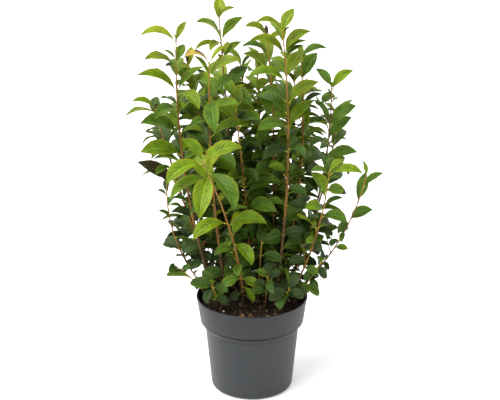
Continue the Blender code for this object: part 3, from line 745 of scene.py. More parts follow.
# leaves that are set one by one: the row at which a leaf joins its wand, the column and row of
# its tip, rough heading, droop, rough length, roll and full width by length in hundredths, tone
Mark = namedtuple("Mark", "rootRow tipColumn tipRow heading droop length roll width tone")
setLeaves = {
    "left_tall": (
        (42.4, 140.5, 35.9, 185, 80, 60, -20, 44, "spring"), (40, 186.5, 21, 40, 20, 42, 30, 43, "olive"),
        (40, 174, 34, 190, 10, 14, 30, 60, "dry"), (40, 179, 34, 0, 10, 14, -30, 60, "dry"),
        (67.4, 144, 59.9, 200, 62, 66, -45, 47, "olive"), (64, 184.5, 44, 100, 30, 44, 30, 44, "fresh"),
        (70, 165.5, 66.5, 215, 60, 30, -40, 47, "mid"), (70, 191, 69, -10, 60, 26, 30, 47, "olive"),
        (92.6, 136.5, 75.6, 190, 66, 72, -30, 43, "lime"), (91, 203.5, 66, 20, 34, 62, 35, 47, "fresh"),
        (110, 154.5, 119.5, 200, 78, 62, -35, 47, "mid"), (106, 161, 98.5, 160, 50, 50, 20, 44, "shade"),
        (95, 198.5, 110, -50, 90, 60, 20, 51, "lime"), (135, 140, 124, 205, 50, 82, -55, 53, "mid"),
        (135, 203, 133, -20, 84, 46, 30, 52, "lime"), (156, 139.5, 151, 195, 62, 70, -70, 47, "fresh"),
        (262, 190, 269, 205, 70, 30, -95, 66, "deep"), (246, 182, 252, 200, 70, 34, -95, 59, "deep"),
        (272, 224, 274, -10, 60, 28, 95, 62, "deep"), (60, 163, 49.5, 165, 30, 26, 10, 50, "fresh"),
        (165, 152, 159, 190, 60, 50, -10, 45, "mid"), (205, 172, 198, 200, 50, 36, -30, 50, "shade"),
        (215, 174, 209, 200, 50, 32, -20, 50, "deep"),
    ),
    "left_side": (
        (111, 131.5, 102, 185, 80, 50, -40, 44, "lime"),
        (112.5, 125.5, 116.5, 190, 62, 56, 20, 48, "fresh"), (110, 158, 103, 60, 20, 15, 0, 50, "dry"),
        (140, 142.5, 144.5, 150, 96, 44, 25, 30, "mid"), (182, 137, 161.5, 195, 12, 74, -75, 42, "bronze"),
        (168, 155, 176, 230, 70, 38, -30, 47, "mid"), (130, 146, 133, 160, 50, 40, 0, 44, "shade"),
        (262, 190, 256, 170, 60, 30, -95, 60, "mid"),
    ),
    "short_left": (
        (66, 185, 55, 150, 20, 20, 10, 50, "dry"), (66, 190, 57, 20, 30, 17, 10, 50, "dry"),
        (68, 192, 46.5, 70, 24, 40, 20, 43, "spring"),
    ),
    "front_left": (
        (65, 183.5, 58, 195, 112, 54, -25, 34, "yellow"), (64, 231, 44, 20, 36, 62, -10, 30, "spring"),
        (78, 242, 60.5, 5, 76, 66, 45, 46, "olive"), (78, 194, 56, 165, 30, 56, -20, 44, "fresh"),
        (101, 238, 74, 25, 40, 70, 30, 44, "mid"), (103, 214.5, 134, -85, 96, 64, 60, 46, "mid"),
        (120, 240, 105, -15, 90, 66, 35, 47, "fresh"), (138, 250, 127, 5, 62, 74, 30, 47, "fresh"),
        (124, 190, 128, 205, 84, 50, -30, 44, "mid"), (152, 184, 160, 215, 70, 56, -40, 47, "mid"),
        (160, 236, 168, -25, 78, 62, 30, 47, "mid"), (277, 201, 273, 195, 60, 36, -95, 62, "shade"),
        (268, 238, 262, 10, 60, 32, 95, 60, "shade"), (290, 213, 301, 215, 70, 28, -95, 60, "mid"),
        (205, 190, 214, 205, 70, 44, -50, 47, "shade"), (232, 200, 234, 190, 70, 38, -60, 51, "shade"),
        (236, 240, 240, -10, 60, 36, 60, 53, "deep"),
    ),
    "top": (
        (20, 219, -3, 80, 12, 38, 20, 59, "spring"), (19, 235.5, 8.5, 10, 84, 36, 35, 42, "olive"),
        (20, 219, 4, -60, 10, 14, 0, 50, "dry"), (41.5, 195.5, 22.5, 180, 82, 66, -35, 56, "fresh"),
        (41, 243, 17, 20, 40, 68, 30, 42, "fresh"), (44, 210, 51, 230, 100, 40, -20, 44, "olive"),
        (47, 193.5, 50, 190, 74, 44, -30, 42, "olive"), (60, 242, 41.5, 15, 44, 56, 30, 42, "fresh"),
        (56, 229, 41, 60, 20, 30, 20, 40, "spring"), (92, 248, 67.5, 30, 40, 70, 35, 47, "shade"),
    ),
    "middle_tall": (
        (40, 244.5, 27, 180, 82, 54, -40, 46, "olive"), (38, 266, 24, 90, 10, 22, 0, 30, "dry"),
        (42, 284, 34, 20, 60, 36, 35, 47, "olive"), (45, 252.5, 37, 160, 40, 28, -10, 40, "olive"),
        (55, 241.5, 47, 185, 76, 52, -35, 44, "mid"), (72, 242.5, 54, 190, 40, 62, -60, 53, "olive"),
        (116, 257, 90, 160, 40, 60, -20, 40, "fresh"), (98, 291, 88, 10, 60, 52, 35, 47, "olive"),
        (88, 268, 117, -70, 90, 56, 20, 40, "mid"), (112, 247, 122, 200, 80, 50, -40, 47, "shade"),
        (128, 262, 142, -80, 80, 40, 10, 47, "mid"),
    ),
    "front_tall": (
        (31, 294, 8.5, 60, 14, 44, 20, 57, "olive"), (33, 256, 23, 180, 84, 54, -35, 44, "olive"),
        (34, 290, 27, 40, 30, 20, 10, 40, "olive"), (58, 249.5, 41, 190, 84, 66, -40, 40, "olive"),
        (53, 311.5, 31.5, 10, 70, 66, 35, 47, "olive"), (58, 312, 39, -10, 74, 62, 40, 36, "olive"),
        (61, 305, 46, 5, 60, 46, 20, 42, "mid"), (78, 303, 50, 50, 30, 60, 40, 47, "olive"),
        (84, 247, 80, 190, 90, 70, -35, 47, "fresh"), (103, 258, 88, 170, 50, 60, -20, 42, "mid"),
        (105, 319, 82, 10, 50, 74, 35, 44, "olive"), (130, 315, 100, 25, 50, 76, 35, 42, "fresh"),
        (127, 257, 131, 200, 70, 62, -55, 47, "mid"), (125, 269, 138, -150, 60, 34, -60, 57, "mid"),
        (150, 306, 158, -20, 74, 54, 30, 47, "shade"), (152, 262, 160, 205, 74, 58, -35, 47, "deep"),
        (173, 268, 166, 195, 60, 34, -70, 47, "fresh"), (189, 306, 195, -20, 70, 36, 80, 57, "shade"),
        (207, 266, 201, 190, 60, 36, -70, 47, "mid"), (206, 308, 209, -10, 60, 38, 80, 57, "deep"),
        (236, 303, 233, 0, 60, 34, 90, 66, "deep"), (281, 292, 290, -30, 70, 30, 95, 60, "deep"),
        (288, 262, 297, 215, 70, 28, -95, 62, "deep"), (262, 264, 262, 195, 60, 32, -95, 60, "deep"),
        (250, 300, 246, 10, 60, 38, 60, 56, "mid"), (236, 268, 236, 195, 60, 38, -60, 47, "shade"),
    ),
    "right_inner": (
        (60, 327, 48.5, 5, 78, 54, 35, 44, "mid"), (80, 317, 53, 40, 30, 56, 45, 57, "mid"),
        (80, 292, 68, 170, 50, 34, -10, 42, "fresh"), (62, 300, 44, 110, 30, 34, 10, 42, "olive"),
        (110, 322, 94, 10, 60, 50, 30, 47, "deep"), (134, 306, 108, 120, 20, 44, 60, 44, "lime"),
        (134, 327.5, 134.5, -5, 76, 46, 30, 44, "lime"), (246, 303, 250, -20, 60, 36, 80, 66, "fresh"),
        (262, 307, 272, -40, 60, 30, 60, 64, "shade"), (96, 305, 135, -80, 60, 60, 10, 42, "mid"),
    ),
    "right_tall": (
        (88, 315.5, 68.5, 160, 34, 52, -80, 47, "mid"), (91.4, 354, 70.9, 15, 62, 58, 75, 42, "lime"),
        (89, 336, 79, 60, 20, 20, 10, 44, "deep"), (100, 327, 88, 150, 30, 24, 0, 44, "deep"),
        (103, 339, 98, 0, 50, 18, 20, 47, "deep"), (127.2, 356.3, 106.2, 20, 72, 64, 85, 42, "mid"),
        (127, 313, 100, 165, 36, 62, -35, 44, "mid"), (140, 352, 117.5, 25, 60, 60, 85, 42, "mid"),
        (144, 309, 148, 190, 100, 50, -30, 44, "shade"), (146, 347, 139, 10, 60, 34, 30, 44, "mid"),
        (162.4, 357.5, 152.4, 15, 76, 58, 85, 42, "mid"), (166, 346, 158.5, 0, 70, 38, 35, 44, "fresh"),
        (158, 324, 166, -120, 90, 46, -10, 47, "shade"), (172, 306, 172, 190, 70, 48, -35, 47, "deep"),
        (118, 311, 103, 150, 50, 40, 30, 45, "mid"), (128, 309, 124, 180, 60, 44, 10, 45, "shade"),
    ),
    "front_right": (
        (175.4, 363, 174.4, 5, 70, 62, 60, 40, "lime"), (175, 311, 172, 190, 76, 36, -40, 57, "mid"),
        (170, 344, 159, 50, 40, 40, 20, 40, "lime"), (174, 324, 160, 130, 20, 26, 10, 42, "shade"),
        (180, 339, 178, -10, 60, 22, 20, 44, "mid"), (192, 346, 194, -15, 80, 42, 95, 57, "tipped"),
        (208, 344, 198, 20, 60, 40, 20, 44, "shade"), (210, 305, 209, 195, 70, 40, -80, 59, "fresh"),
        (217.4, 347, 223.4, -20, 90, 46, 80, 53, "mid"), (229, 311, 228.5, 190, 60, 22, -30, 53, "fresh"),
        (229, 327, 225, 0, 50, 20, 30, 53, "lime"), (240, 306, 243, 215, 70, 22, -95, 66, "fresh"),
        (243, 322, 252, -40, 80, 32, 95, 57, "deep"), (284, 309, 292, -25, 70, 28, 95, 64, "mid"),
        (276, 286, 279, 195, 60, 28, -95, 64, "deep"), (262, 289, 262, 190, 60, 30, -95, 60, "deep"),
        (268, 318, 274, -20, 60, 26, 90, 64, "mid"),
    ),
    "right_edge": (
        (203, 366, 172, 50, 20, 56, 60, 47, "mid"), (189, 385, 173, 10, 46, 40, 30, 40, "mid"),
        (178, 362, 160, 140, 40, 34, -10, 40, "fresh"), (221, 372.5, 210, 0, 70, 44, 95, 51, "mid"),
        (222, 338, 234, 225, 84, 32, -90, 53, "shade"), (232, 341, 243, -70, 70, 22, 10, 53, "mid"),
        (248, 348, 249, 0, 50, 22, 90, 57, "fresh"), (240, 331, 247, 215, 80, 26, -30, 53, "shade"),
        (262, 329, 270, -40, 70, 22, 95, 60, "shade"),
    ),
    "front_lime": (
        (164, 165.5, 185, 200, 76, 66, -50, 44, "lime"), (163, 243, 148, 0, 62, 68, 70, 44, "lime"),
        (163, 181, 138.5, 160, 44, 54, -50, 53, "fresh"), (176, 200, 219.5, -110, 78, 76, -20, 44, "lime"),
        (179, 167, 200, 205, 70, 70, -30, 40, "fresh"), (173, 234, 211, -45, 84, 76, 25, 49, "mid"),
        (196, 225, 197, 0, 50, 14, 20, 44, "mid"), (224, 193, 240, 205, 84, 66, -60, 44, "lime"),
        (226, 267, 224, 0, 84, 66, 80, 44, "fresh"), (214, 248, 208, 20, 50, 42, 30, 35, "mid"),
        (244, 252, 266, -60, 80, 50, 25, 49, "fresh"), (250, 214, 256, 200, 84, 44, -40, 44, "mid"),
        (264, 237, 277, -100, 70, 26, 10, 63, "mid"), (279, 221, 288, 200, 60, 36, -95, 55, "mid"),
        (279, 259, 288, -15, 60, 32, 95, 55, "fresh"), (286, 255, 305, -60, 70, 32, 20, 44, "fresh"),
        (292, 230, 301, 205, 60, 26, -95, 56, "deep"), (295, 256, 301, -15, 60, 26, 95, 56, "shade"),
    ),
    "left_low": (
        (196, 157, 190, 170, 50, 26, -10, 44, "shade"), (220, 158, 211, 190, 70, 30, -30, 47, "mid"),
        (213, 192, 217, -10, 70, 38, 40, 53, "deep"), (206, 182, 207, 0, 60, 26, 30, 47, "mid"),
        (237, 190, 247, -20, 70, 30, 30, 53, "shade"),
    ),
    "low_left_back": (
        (238, 167, 240, 190, 80, 38, -95, 62, "deep"),
    ),
    "low_left": (
        (267, 169, 272, 200, 60, 30, -95, 62, "shade"), (270, 192, 268, 0, 60, 20, 95, 62, "shade"),
        (278, 166, 276, 180, 40, 42, 95, 62, "deep"), (284, 197, 290, -110, 60, 22, 0, 64, "shade"),
        (273, 168, 276, 190, 60, 40, -30, 42, "mid"), (272, 170, 260, 160, 60, 30, 30, 70, "bronze"),
    ),
    "low_front_left": (
        (288, 206, 304, 230, 70, 30, 0, 62, "deep"), (288, 188, 284, 180, 60, 36, -95, 62, "shade"),
        (287, 203, 270, 150, 30, 36, -95, 62, "shade"), (288, 228, 292, -10, 60, 26, 95, 62, "shade"),
        (296, 229, 306, -40, 70, 24, 95, 60, "deep"), (293, 224, 283, 60, 60, 26, 50, 60, "deep"),
    ),
    "low_front": (
        (278, 256, 271, 165, 60, 24, -95, 64, "mid"), (280, 274, 294, -60, 74, 34, 95, 62, "shade"),
        (278, 281, 272, 20, 50, 26, 95, 62, "deep"), (292, 250, 292, 190, 50, 26, -95, 62, "shade"),
        (286, 254, 284, 190, 60, 26, -95, 66, "deep"), (278, 275, 295, -90, 70, 32, 0, 58, "mid"),
    ),
    "low_front_right": (
        (292, 268, 301, 200, 70, 34, -95, 62, "deep"), (290, 302, 299, -15, 76, 30, 95, 62, "deep"),
        (293, 281, 313, -110, 70, 28, 0, 62, "shade"), (289, 299, 274, 30, 40, 28, 95, 62, "deep"),
        (290, 284, 268, 120, 30, 36, 95, 62, "deep"),
    ),
    "low_right": (
        (290, 296, 282, 170, 60, 22, -95, 70, "shade"), (284, 318, 296, -30, 76, 34, 95, 62, "mid"),
        (268, 325, 279, -30, 70, 26, 95, 66, "deep"), (270, 306, 281, 190, 70, 30, -95, 62, "shade"),
        (264, 322, 249, 90, 30, 30, 95, 62, "deep"), (280, 318, 290, -45, 70, 28, 95, 62, "shade"),
    ),
    "low_middle": (
        (256, 281, 262, -5, 70, 36, 95, 62, "shade"), (256, 250, 262, 190, 70, 36, -95, 62, "deep"),
        (244, 285, 238, 10, 50, 38, 95, 62, "shade"), (270, 270, 278, -30, 60, 24, 95, 70, "shade"),
        (278, 245, 279, 200, 60, 28, -95, 66, "deep"),
    ),
    "middle": (
        (140, 262, 150, -30, 80, 44, 40, 47, "shade"), (170, 258, 182, -40, 80, 40, 40, 47, "shade"),
    ),
}
setHabit = {
    "turns": (0, 6, -6, 12, -12, 20, -20),
    "trims": (1.0, 0.93, 0.86, 0.78),
    "facing": 0.7,
    "margin": 0.025,
    "besideShare": 0.045,
    "besideTurn": 50,
    "wide": 0.92,
    "steps": 400,
    "lowest": 0.02,
    "towardsRise": 30,
    "steepest": 86,
    "rounds": 40,
    "nudges": (0.0001, 0.0001, 0.01),
    "longestSteps": (0.3, 0.3, 10),
    "tipSlack": 0.7,
    "headingSlack": 28,
    "riseSlack": 16,
    "lengthSlack": 0.12,
}


def onView(point):
    # the column and row at which a point shows
    tilt = math.radians(90 - view["pitch"])
    x, y, z = np.array(point) - np.array(view["eye"])
    depth = y * math.cos(tilt) - z * math.sin(tilt)
    height = y * math.sin(tilt) + z * math.cos(tilt)
    return (view["width"] / 2 + view["focal"] * x / depth,
            view["height"] / 2 - view["focal"] * height / depth)


def wandPlace(wand, share):
    foot = np.array((*wand.foot, habit["ground"]))
    rest = 1 - share
    bow = np.array(wand.bend) * 2 * share * rest
    return (foot * rest ** 2 + bow + np.array(wand.tip) * share * share) * mm


def fitMark(wand, shares, rows, mark):
    # the share, heading, rise and length that bring a leaf's tip to its mark and stay near the
    # rough values, by the Gauss-Newton rule
    ways = setHabit
    share = max(shares[np.argmin(np.abs(rows - mark.rootRow))], ways["lowest"])
    root = wandPlace(wand, share)
    rootColumn, rootRow = onView(root)
    aim = math.radians(mark.heading)
    droop = math.radians(mark.droop)
    chord = math.atan2(rootRow - mark.tipRow, abs(mark.tipColumn - rootColumn) + 1e-6)
    side = abs(math.cos(aim))
    rise = side * chord + (1 - side) * math.radians(ways["towardsRise"]) + droop / 2
    rise = min(rise, math.radians(ways["steepest"]))

    def misfit(values):
        heading, tilt, length = values
        bend = droop / (max(length, 5) * mm)
        out = (math.sin(tilt) - math.sin(tilt - droop)) / bend
        high = (math.cos(tilt - droop) - math.cos(tilt)) / bend
        tip = root + np.array((math.cos(heading) * out, math.sin(heading) * out, high))
        column, row = onView(tip)
        return np.array(((column - mark.tipColumn) / ways["tipSlack"],
                         (row - mark.tipRow) / ways["tipSlack"],
                         (heading - aim) / math.radians(ways["headingSlack"]),
                         (tilt - rise) / math.radians(ways["riseSlack"]),
                         (length - mark.length) / (ways["lengthSlack"] * mark.length)))

    values = np.array((aim, rise, mark.length))
    for number in range(ways["rounds"]):
        error = misfit(values)
        slopes = np.array([(misfit(values + nudge) - error) / nudge.sum()
                           for nudge in np.diag(ways["nudges"])]).T
        change = np.linalg.solve(slopes.T @ slopes + 1e-6 * np.eye(3), slopes.T @ error)
        values = values - change / max(1, np.max(np.abs(change) / np.array(ways["longestSteps"])))
    heading, rise, length = math.degrees(values[0]), math.degrees(values[1]), values[2]
    return round(float(share), 3), round(heading), round(rise), round(length)


def fitMarks():
    # each wand's marks with their worked-out places, to whole degrees and millimetres
    fitted = {}
    shares = np.linspace(0, 1, setHabit["steps"] + 1)
    for wand in wands:
        if wand.name in setLeaves:
            rows = np.array([onView(wandPlace(wand, share))[1] for share in shares])
            marks = [Mark(*row) for row in setLeaves[wand.name]]
            fitted[wand.name] = [(mark, *fitMark(wand, shares, rows, mark)) for mark in marks]
    return fitted


fittedLeaves = fitMarks()


def placeSetLeaves(room):
    missed = 0
    for wand in wands:
        for number, fitted in enumerate(fittedLeaves.get(wand.name, ())):
            mark, share, heading, rise, length = fitted
            leaf = Leaf(along(wand, share)[0], math.radians(heading), math.radians(rise),
                        length * mm, math.radians(mark.droop), mark.roll / 100,
                        mark.width / 100 / 2 * setHabit["wide"])
            owner = f"{wand.name}_set_{number}"
            if mark.tone != "dry":
                ignored = (wand.name, "stem_" + wand.name, owner)
                leaf = settleLeaf(room, leaf, None, ignored, 0, setHabit)
            if leaf is None:
                missed += 1
            else:
                room.keep(leaf, owner, wand, rungOf(wand, share), "set", mark.tone)
    print("set leaves:", len(room.grown), "missed:", missed)


def givesWay(wand, leaf, share):
    # a rule leaf at the front of a stretch that carries set leaves, or close beside one
    if wand.name not in fittedLeaves:
        return False
    places = [fitted[1:3] for fitted in fittedLeaves[wand.name]]
    shares = [place[0] for place in places]
    margin = setHabit["margin"]
    near = min(shares) - margin < share < max(shares) + margin
    if near and math.sin(leaf.heading) < setHabit["facing"]:
        return True
    for setShare, heading in places:
        turn = abs((math.degrees(leaf.heading) - heading + 180) % 360 - 180)
        if abs(share - setShare) < setHabit["besideShare"] and turn < setHabit["besideTurn"]:
            return True
    return False


def fillRoom():
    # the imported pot, soil and stems, and a stand-in for each wand's leafy part
    room = Room()
    for name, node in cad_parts.items():
        if name in ("pot", "soil") or name.startswith("stem_"):
            bm = bmesh.new()
            bm.from_mesh(node.data)
            bmesh.ops.remove_doubles(bm, verts=bm.verts, dist=0.01 * mm)
            points, faces = templateArrays(bm)[:2]
            room.add(points.tolist(), faces, name)
    steps = habit["axisSteps"]
    for wand in wands:
        shares = np.linspace(wand.bare, 1, habit["roomRings"])
        radii = [wandRadius(wand, share) * habit["roomRadius"] for share in shares]
        room.add(*tubeProxy([along(wand, share) for share in shares], radii), wand.name)
        room.addAxis([along(wand, wand.bare + (1 - wand.bare) * step / steps)[0]
                      for step in range(steps + 1)], wand.name)
    return room


def growMain(room, wand):
    # the leaf pairs of the rule and the side twigs that start at them
    leaves, twigs = ruleLeaves(wand, random.Random(wand.seed))
    for leaf, pair, rung in leaves:
        if givesWay(wand, leaf, shareOf(wand, rung)):
            continue
        owner = f"{wand.name}_{pair}"
        settled = settleLeaf(room, leaf, wand.name, (wand.name, owner))
        if settled:
            room.keep(settled, owner, wand, rung, "main")
    for index, (point, aim, rung) in enumerate(twigs):
        growSprig(room, wand, point, aim, rung, habit["twigRise"], habit["twigLength"] * mm,
                  wand.leaf * habit["twigLeaf"] * mm, f"{wand.name}_twig_{index}")


def growFill(room, wand):
    # more leaves between the pairs, on the wands that sky does not show between
    if wand.name.startswith("low_") or wand.name in finer["openWands"]:
        return
    rng = random.Random(wand.seed + 2 * finer["seedStep"])
    step = finer["fillStep"] * mm / wandLength(wand)
    for number, rung in enumerate(np.arange(finer["fillFrom"], finer["fillTo"], step)):
        share = shareOf(wand, rung)
        root = along(wand, share)[0]
        turn = rng.uniform(0, math.tau)
        scale = rng.uniform(*finer["fillLeaf"])
        owner = f"{wand.name}_fill_{number}"
        for half in (0, 1):
            heading = turn + half * math.pi
            leaf = Leaf(root, heading, math.radians(stageValue(habit["rises"], rung)),
                        wand.leaf * scale * mm * stageValue(habit["leafShares"], rung),
                        math.radians(stageValue(habit["droops"], rung)),
                        outwardRoll(root, heading, rung))
            settled = settleLeaf(room, leaf, wand.name, (wand.name, owner))
            if settled and not givesWay(wand, settled, share):
                room.keep(settled, owner, wand, rung, "fill")


def growFine(room, wand):
    # fine side twigs, most of them low on the wand, and small leaves at the joints
    rng = random.Random(wand.seed + finer["seedStep"])
    shares = nodeShares(wand)
    if not wand.name.startswith("low_"):
        shares += [wand.bare * finer["lowStart"] + finer["lowReach"] * step / finer["lowShares"]
                   for step in range(finer["lowShares"])]
    thin = finer["openShare"] if wand.name in finer["openWands"] else 1
    wander = finer["aimWander"]
    for number, share in enumerate(shares):
        point = along(wand, share)[0]
        rung = rungOf(wand, share)
        heading = rng.uniform(0, math.tau)
        for half in (0, 1):
            aim = heading + half * math.pi + rng.uniform(-wander, wander)
            owner = f"{wand.name}_fine_{number}_{half}"
            if wand.name in setLeaves and rung > 0 and math.sin(aim) < finer["clearFront"]:
                continue
            if rng.random() < stageValue(finer["sprigChance"], rung) * thin:
                rise = math.radians(rng.uniform(*finer["sprigRise"]))
                length = rng.uniform(*finer["sprigLength"]) * mm
                leafLength = rng.uniform(*finer["sprigLeaf"]) * mm
                growSprig(room, wand, point, aim, rung, rise, length, leafLength, owner)
            elif rng.random() < finer["axilChance"]:
                size = rng.uniform(*finer["axilLeaf"]) * mm
                leaf = Leaf(point, aim, math.radians(rng.uniform(*finer["axilRise"])), size,
                            math.radians(rng.uniform(*finer["axilDroop"])), 0)
                settled = settleLeaf(room, leaf, wand.name, (wand.name, owner),
                                     finer["grow"] * mm)
                if settled:
                    room.keep(settled, owner, wand, rung, "small")


def growSprig(room, wand, point, aim, rung, rise, length, leafLength, owner):
    # a side twig with its leaves, kept only where the twig and enough leaves fit
    direction = flatRay(aim) * math.cos(rise) + up * math.sin(rise)
    end = point + direction * length
    radius = finer["sprigRadius"] * mm
    clear = point + direction * length * finer["sprigClear"]
    points, faces = tubeProxy([(clear, direction), (end, direction)], [radius, radius])
    free = rung < finer["sharedRung"]
    ignored = (wand.name, "stem_" + wand.name, owner)
    if not (free or room.isOwn(end, wand.name)) or not room.isFree(points, faces, ignored):
        return
    leaves = []
    pairs = finer["longPairs" if length > finer["longSprig"] * mm else "shortPairs"]
    for number, (share, scale) in enumerate(pairs):
        root = point + direction * length * share
        for half in (0, 1):
            heading = aim + number * quarterTurn + half * math.pi + quarterTurn * (len(pairs) % 2)
            leaf = Leaf(root, heading, math.radians(finer["sprigLeafRise"]), leafLength * scale,
                        math.radians(finer["sprigLeafDroop"]), outwardRoll(root, heading, rung),
                        finer["sprigWide"])
            leaves.append(settleLeaf(room, leaf, None if free else wand.name, ignored,
                                     finer["grow"] * mm))
    leaves = [leaf for leaf in leaves if leaf]
    if len(leaves) < finer["fewestLeaves"]:
        return
    room.add(points, faces, owner)
    middle = point + direction * length * 0.5
    room.sprigs.append(([(spot, direction) for spot in (point, middle, end)],
                        [radius * 1.25, radius, radius * 0.6], rung))
    for leaf in leaves:
        room.keep(leaf, owner, wand, rung, "sprig")


def growPlant():
    room = fillRoom()
    placeSetLeaves(room)
    for grow in (growMain, growFill, growFine):
        for wand in wands:
            grow(room, wand)
    print("grown:", len(room.grown), "leaves and", len(room.sprigs), "finer twigs")
    return room.grown, room.sprigs


# Bark and twigs

barkSizes = {
    "sides": 18,
    "ringStep": 2.0,
    "fewestRings": 6,
    "sink": 6,
    "relief": 0.09,
    "slim": 0.7,
    "leanOver": 1.5,
    "twigSides": 8,
    "twigStep": 5,
    "twigRelief": 0.05,
    "sprigSides": 5,
    "youngSprig": 0.6,
    "swelling": 0.35,
    "swellingReach": 2.6,
    "budShare": 0.5,
    "dryBudShare": 3,
    "dryBuds": ("left_tall", "short_left", "left_side", "middle_tall"),
    "colourEnds": (330, 110, 45),
    "darkWands": ("right_tall",),
    "darkEnd": 30,
}
# name, two colours, scale, roughness, specular, stretch, bump and spread
barkLooks = (
    ("barkLower", (70, 52, 32), (126, 98, 62), 260, 0.82, 0.2, (1, 1, 0.3), (0.7, 900, 0.0006)),
    ("barkMiddle", (100, 68, 30), (160, 114, 52), 200, 0.7, 0.2, (1, 1, 0.25), (0.5, 900, 0.0004)),
    ("barkYoung", (134, 92, 36), (172, 128, 58), 160, 0.6, 0.25, (1, 1, 0.3), (0.3, 700, 0.0003)),
    ("barkGreen", (140, 108, 38), (178, 150, 60), 160, 0.55, 0.25, (1, 1, 0.3), (0.3, 700, 0.0003)),
)


def wrapTube(bm, places, radii, sides, relief, kinds):
    # a grid rolled round a line of places, closed along its seam and at its ends
    made = bmesh.ops.create_grid(bm, x_segments=sides, y_segments=len(places) - 1, size=0.5)
    verts = made["verts"]
    turns = [up.rotation_difference(direction) for point, direction in places]
    for vert in verts:
        ring = round((vert.co.y + 0.5) * (len(places) - 1))
        side = round((vert.co.x + 0.5) * sides) % sides
        spoke = flatRay(math.tau * side / sides)
        point = places[ring][0]
        rough = noise.fractal(spoke * 1.7 + Vector((0, 0, point.z / mm / 9)), 0.8, 2.1, 3)
        vert.co = point + turns[ring] @ spoke * radii[ring] * (1 + relief * rough)
    for face in {face for vert in verts for face in vert.link_faces}:
        middle = face.calc_center_median()
        ring = min(range(len(places)), key=lambda i: (places[i][0] - middle).length)
        face.material_index = kinds[ring]
    bmesh.ops.remove_doubles(bm, verts=verts, dist=0.0001 * mm)
    rims = [edge for edge in bm.edges if edge.is_boundary]
    bmesh.ops.holes_fill(bm, edges=rims, sides=0)


def barkMaterials():
    barks = [mottled(name, screenColour(*low), screenColour(*high), *look, spread=0.2)
             for name, low, high, *look in barkLooks]
    return barks + [tinted("budDry", (52, 38, 28), 0.8, 0.2)]


def barkRadius(wand, share):
    slim = barkSizes["slim"]
    return wandRadius(wand, share) * (slim + (1 - slim) * max(0, min(share, 1)))


def finishBark(name, bm, materials, sharp, kind):
    bmesh.ops.recalc_face_normals(bm, faces=bm.faces)
    mesh = smoothMesh(meshFrom(name, bm), sharp, materials)
    finishPiece(name, mesh, [kind + wand.name for wand in wands])


def makeStems(materials):
    sizes = barkSizes
    bm = bmesh.new()
    for wand in wands:
        bare = wand.bare * wandLength(wand)
        count = max(sizes["fewestRings"], round(bare / mm / sizes["ringStep"]))
        places = []
        radii = []
        for step in range(-2, count + 1):
            share = wand.bare * max(0, step) / count
            point, direction = along(wand, share)
            if step < 0:
                point = point + up * step * sizes["sink"] / 2 * mm
            lean = min(1, max(0, step) / count * sizes["leanOver"])
            places.append((point, up.lerp(direction, lean).normalized()))
            radii.append(barkRadius(wand, share))
        wrapTube(bm, places, radii, sizes["sides"], sizes["relief"], [0] * len(places))
    finishBark("barkStems", bm, materials, 70, "stem_")


def makeTwigs(materials, sprigs):
    sizes = barkSizes
    bm = bmesh.new()
    for wand in wands:
        length = wandLength(wand)
        end = 1 + habit["budLength"] * mm / length
        count = (end - wand.bare) * length / mm / sizes["twigStep"]
        count = max(sizes["fewestRings"], round(count))
        nodes = nodeShares(wand)
        shares = sorted([wand.bare - 0.3 * mm / length + (end - wand.bare) * step / count
                         for step in range(count + 1)] + nodes)
        radii = []
        kinds = []
        for share in shares:
            nearest = min(abs(share - node) for node in nodes) * length / mm
            swell = 1 + sizes["swelling"] * math.exp(-(nearest / sizes["swellingReach"]) ** 2)
            bud = sizes["budShare"] if share > 1.002 else 1
            radii.append(barkRadius(wand, min(1, share)) * swell * bud)
            left = (1 - share) * length / mm
            if wand.name in sizes["darkWands"]:
                kinds.append(2 if left < sizes["darkEnd"] else 0)
            else:
                kinds.append(sum(left < limit for limit in sizes["colourEnds"]))
            if share > 1.001 and wand.name in sizes["dryBuds"]:
                kinds[-1] = 4
                radii[-1] *= sizes["dryBudShare"]
        wrapTube(bm, [along(wand, share) for share in shares], radii, sizes["twigSides"],
                 sizes["twigRelief"], kinds)
    for places, radii, rung in sprigs:
        kind = 1 if rung < sizes["youngSprig"] else 2
        wrapTube(bm, places, radii, sizes["sprigSides"], 0.0, [kind] * len(places))
    finishBark("leafyTwigs", bm, materials, 60, "foliage_")


# Leaves

leafForm = {
    "rows": (0.0, 0.1, 0.24, 0.4, 0.55, 0.7, 0.83, 0.94, 1.0),
    "widths": (0.05, 0.32, 0.7, 0.96, 1.0, 0.82, 0.5, 0.18, 0.0),
    "roundWidths": (0.07, 0.5, 0.85, 0.99, 1.0, 0.92, 0.73, 0.44, 0.0),
    "roundFrom": 0.25,
    "roundTo": 0.31,
    "columns": (-1, -0.5, -0.035, 0.035, 0.5, 1),
    "ribRidge": 2.4,
    "petiole": 0.1,
    "petioleRadius": 0.75,
    "petioleSides": 5,
    "thickness": 0.2,
    "fold": (0.38, 0.6),
    "foldPower": 0.85,
    "wave": (0.0, 0.09),
    "waves": 15,
    "twist": 0.25,
    "rollOver": 0.3,
    "kindWidths": {"main": (0.21, 0.24), "fill": (0.21, 0.24), "sprig": (0.32, 0.4),
                   "small": (0.24, 0.3)},
    "lowWidth": (0.32, 0.4),
    "lowRung": 0.3,
    "setWander": 0.03,
    "dryTip": 0.8,
    "drySpots": 0.22,
}

leafVeins = {
    "drift": 0.12,
    "blotch": 80,
    "pairs": 8,
    "start": 20,
    "lean": 2.4,
    "sharpness": 4,
    "softness": 0.2,
    "show": 0.4,
    "rimPower": 5,
    "rimColour": (200, 184, 52),
    "relief": 0.8,
    "depth": 0.5,
}

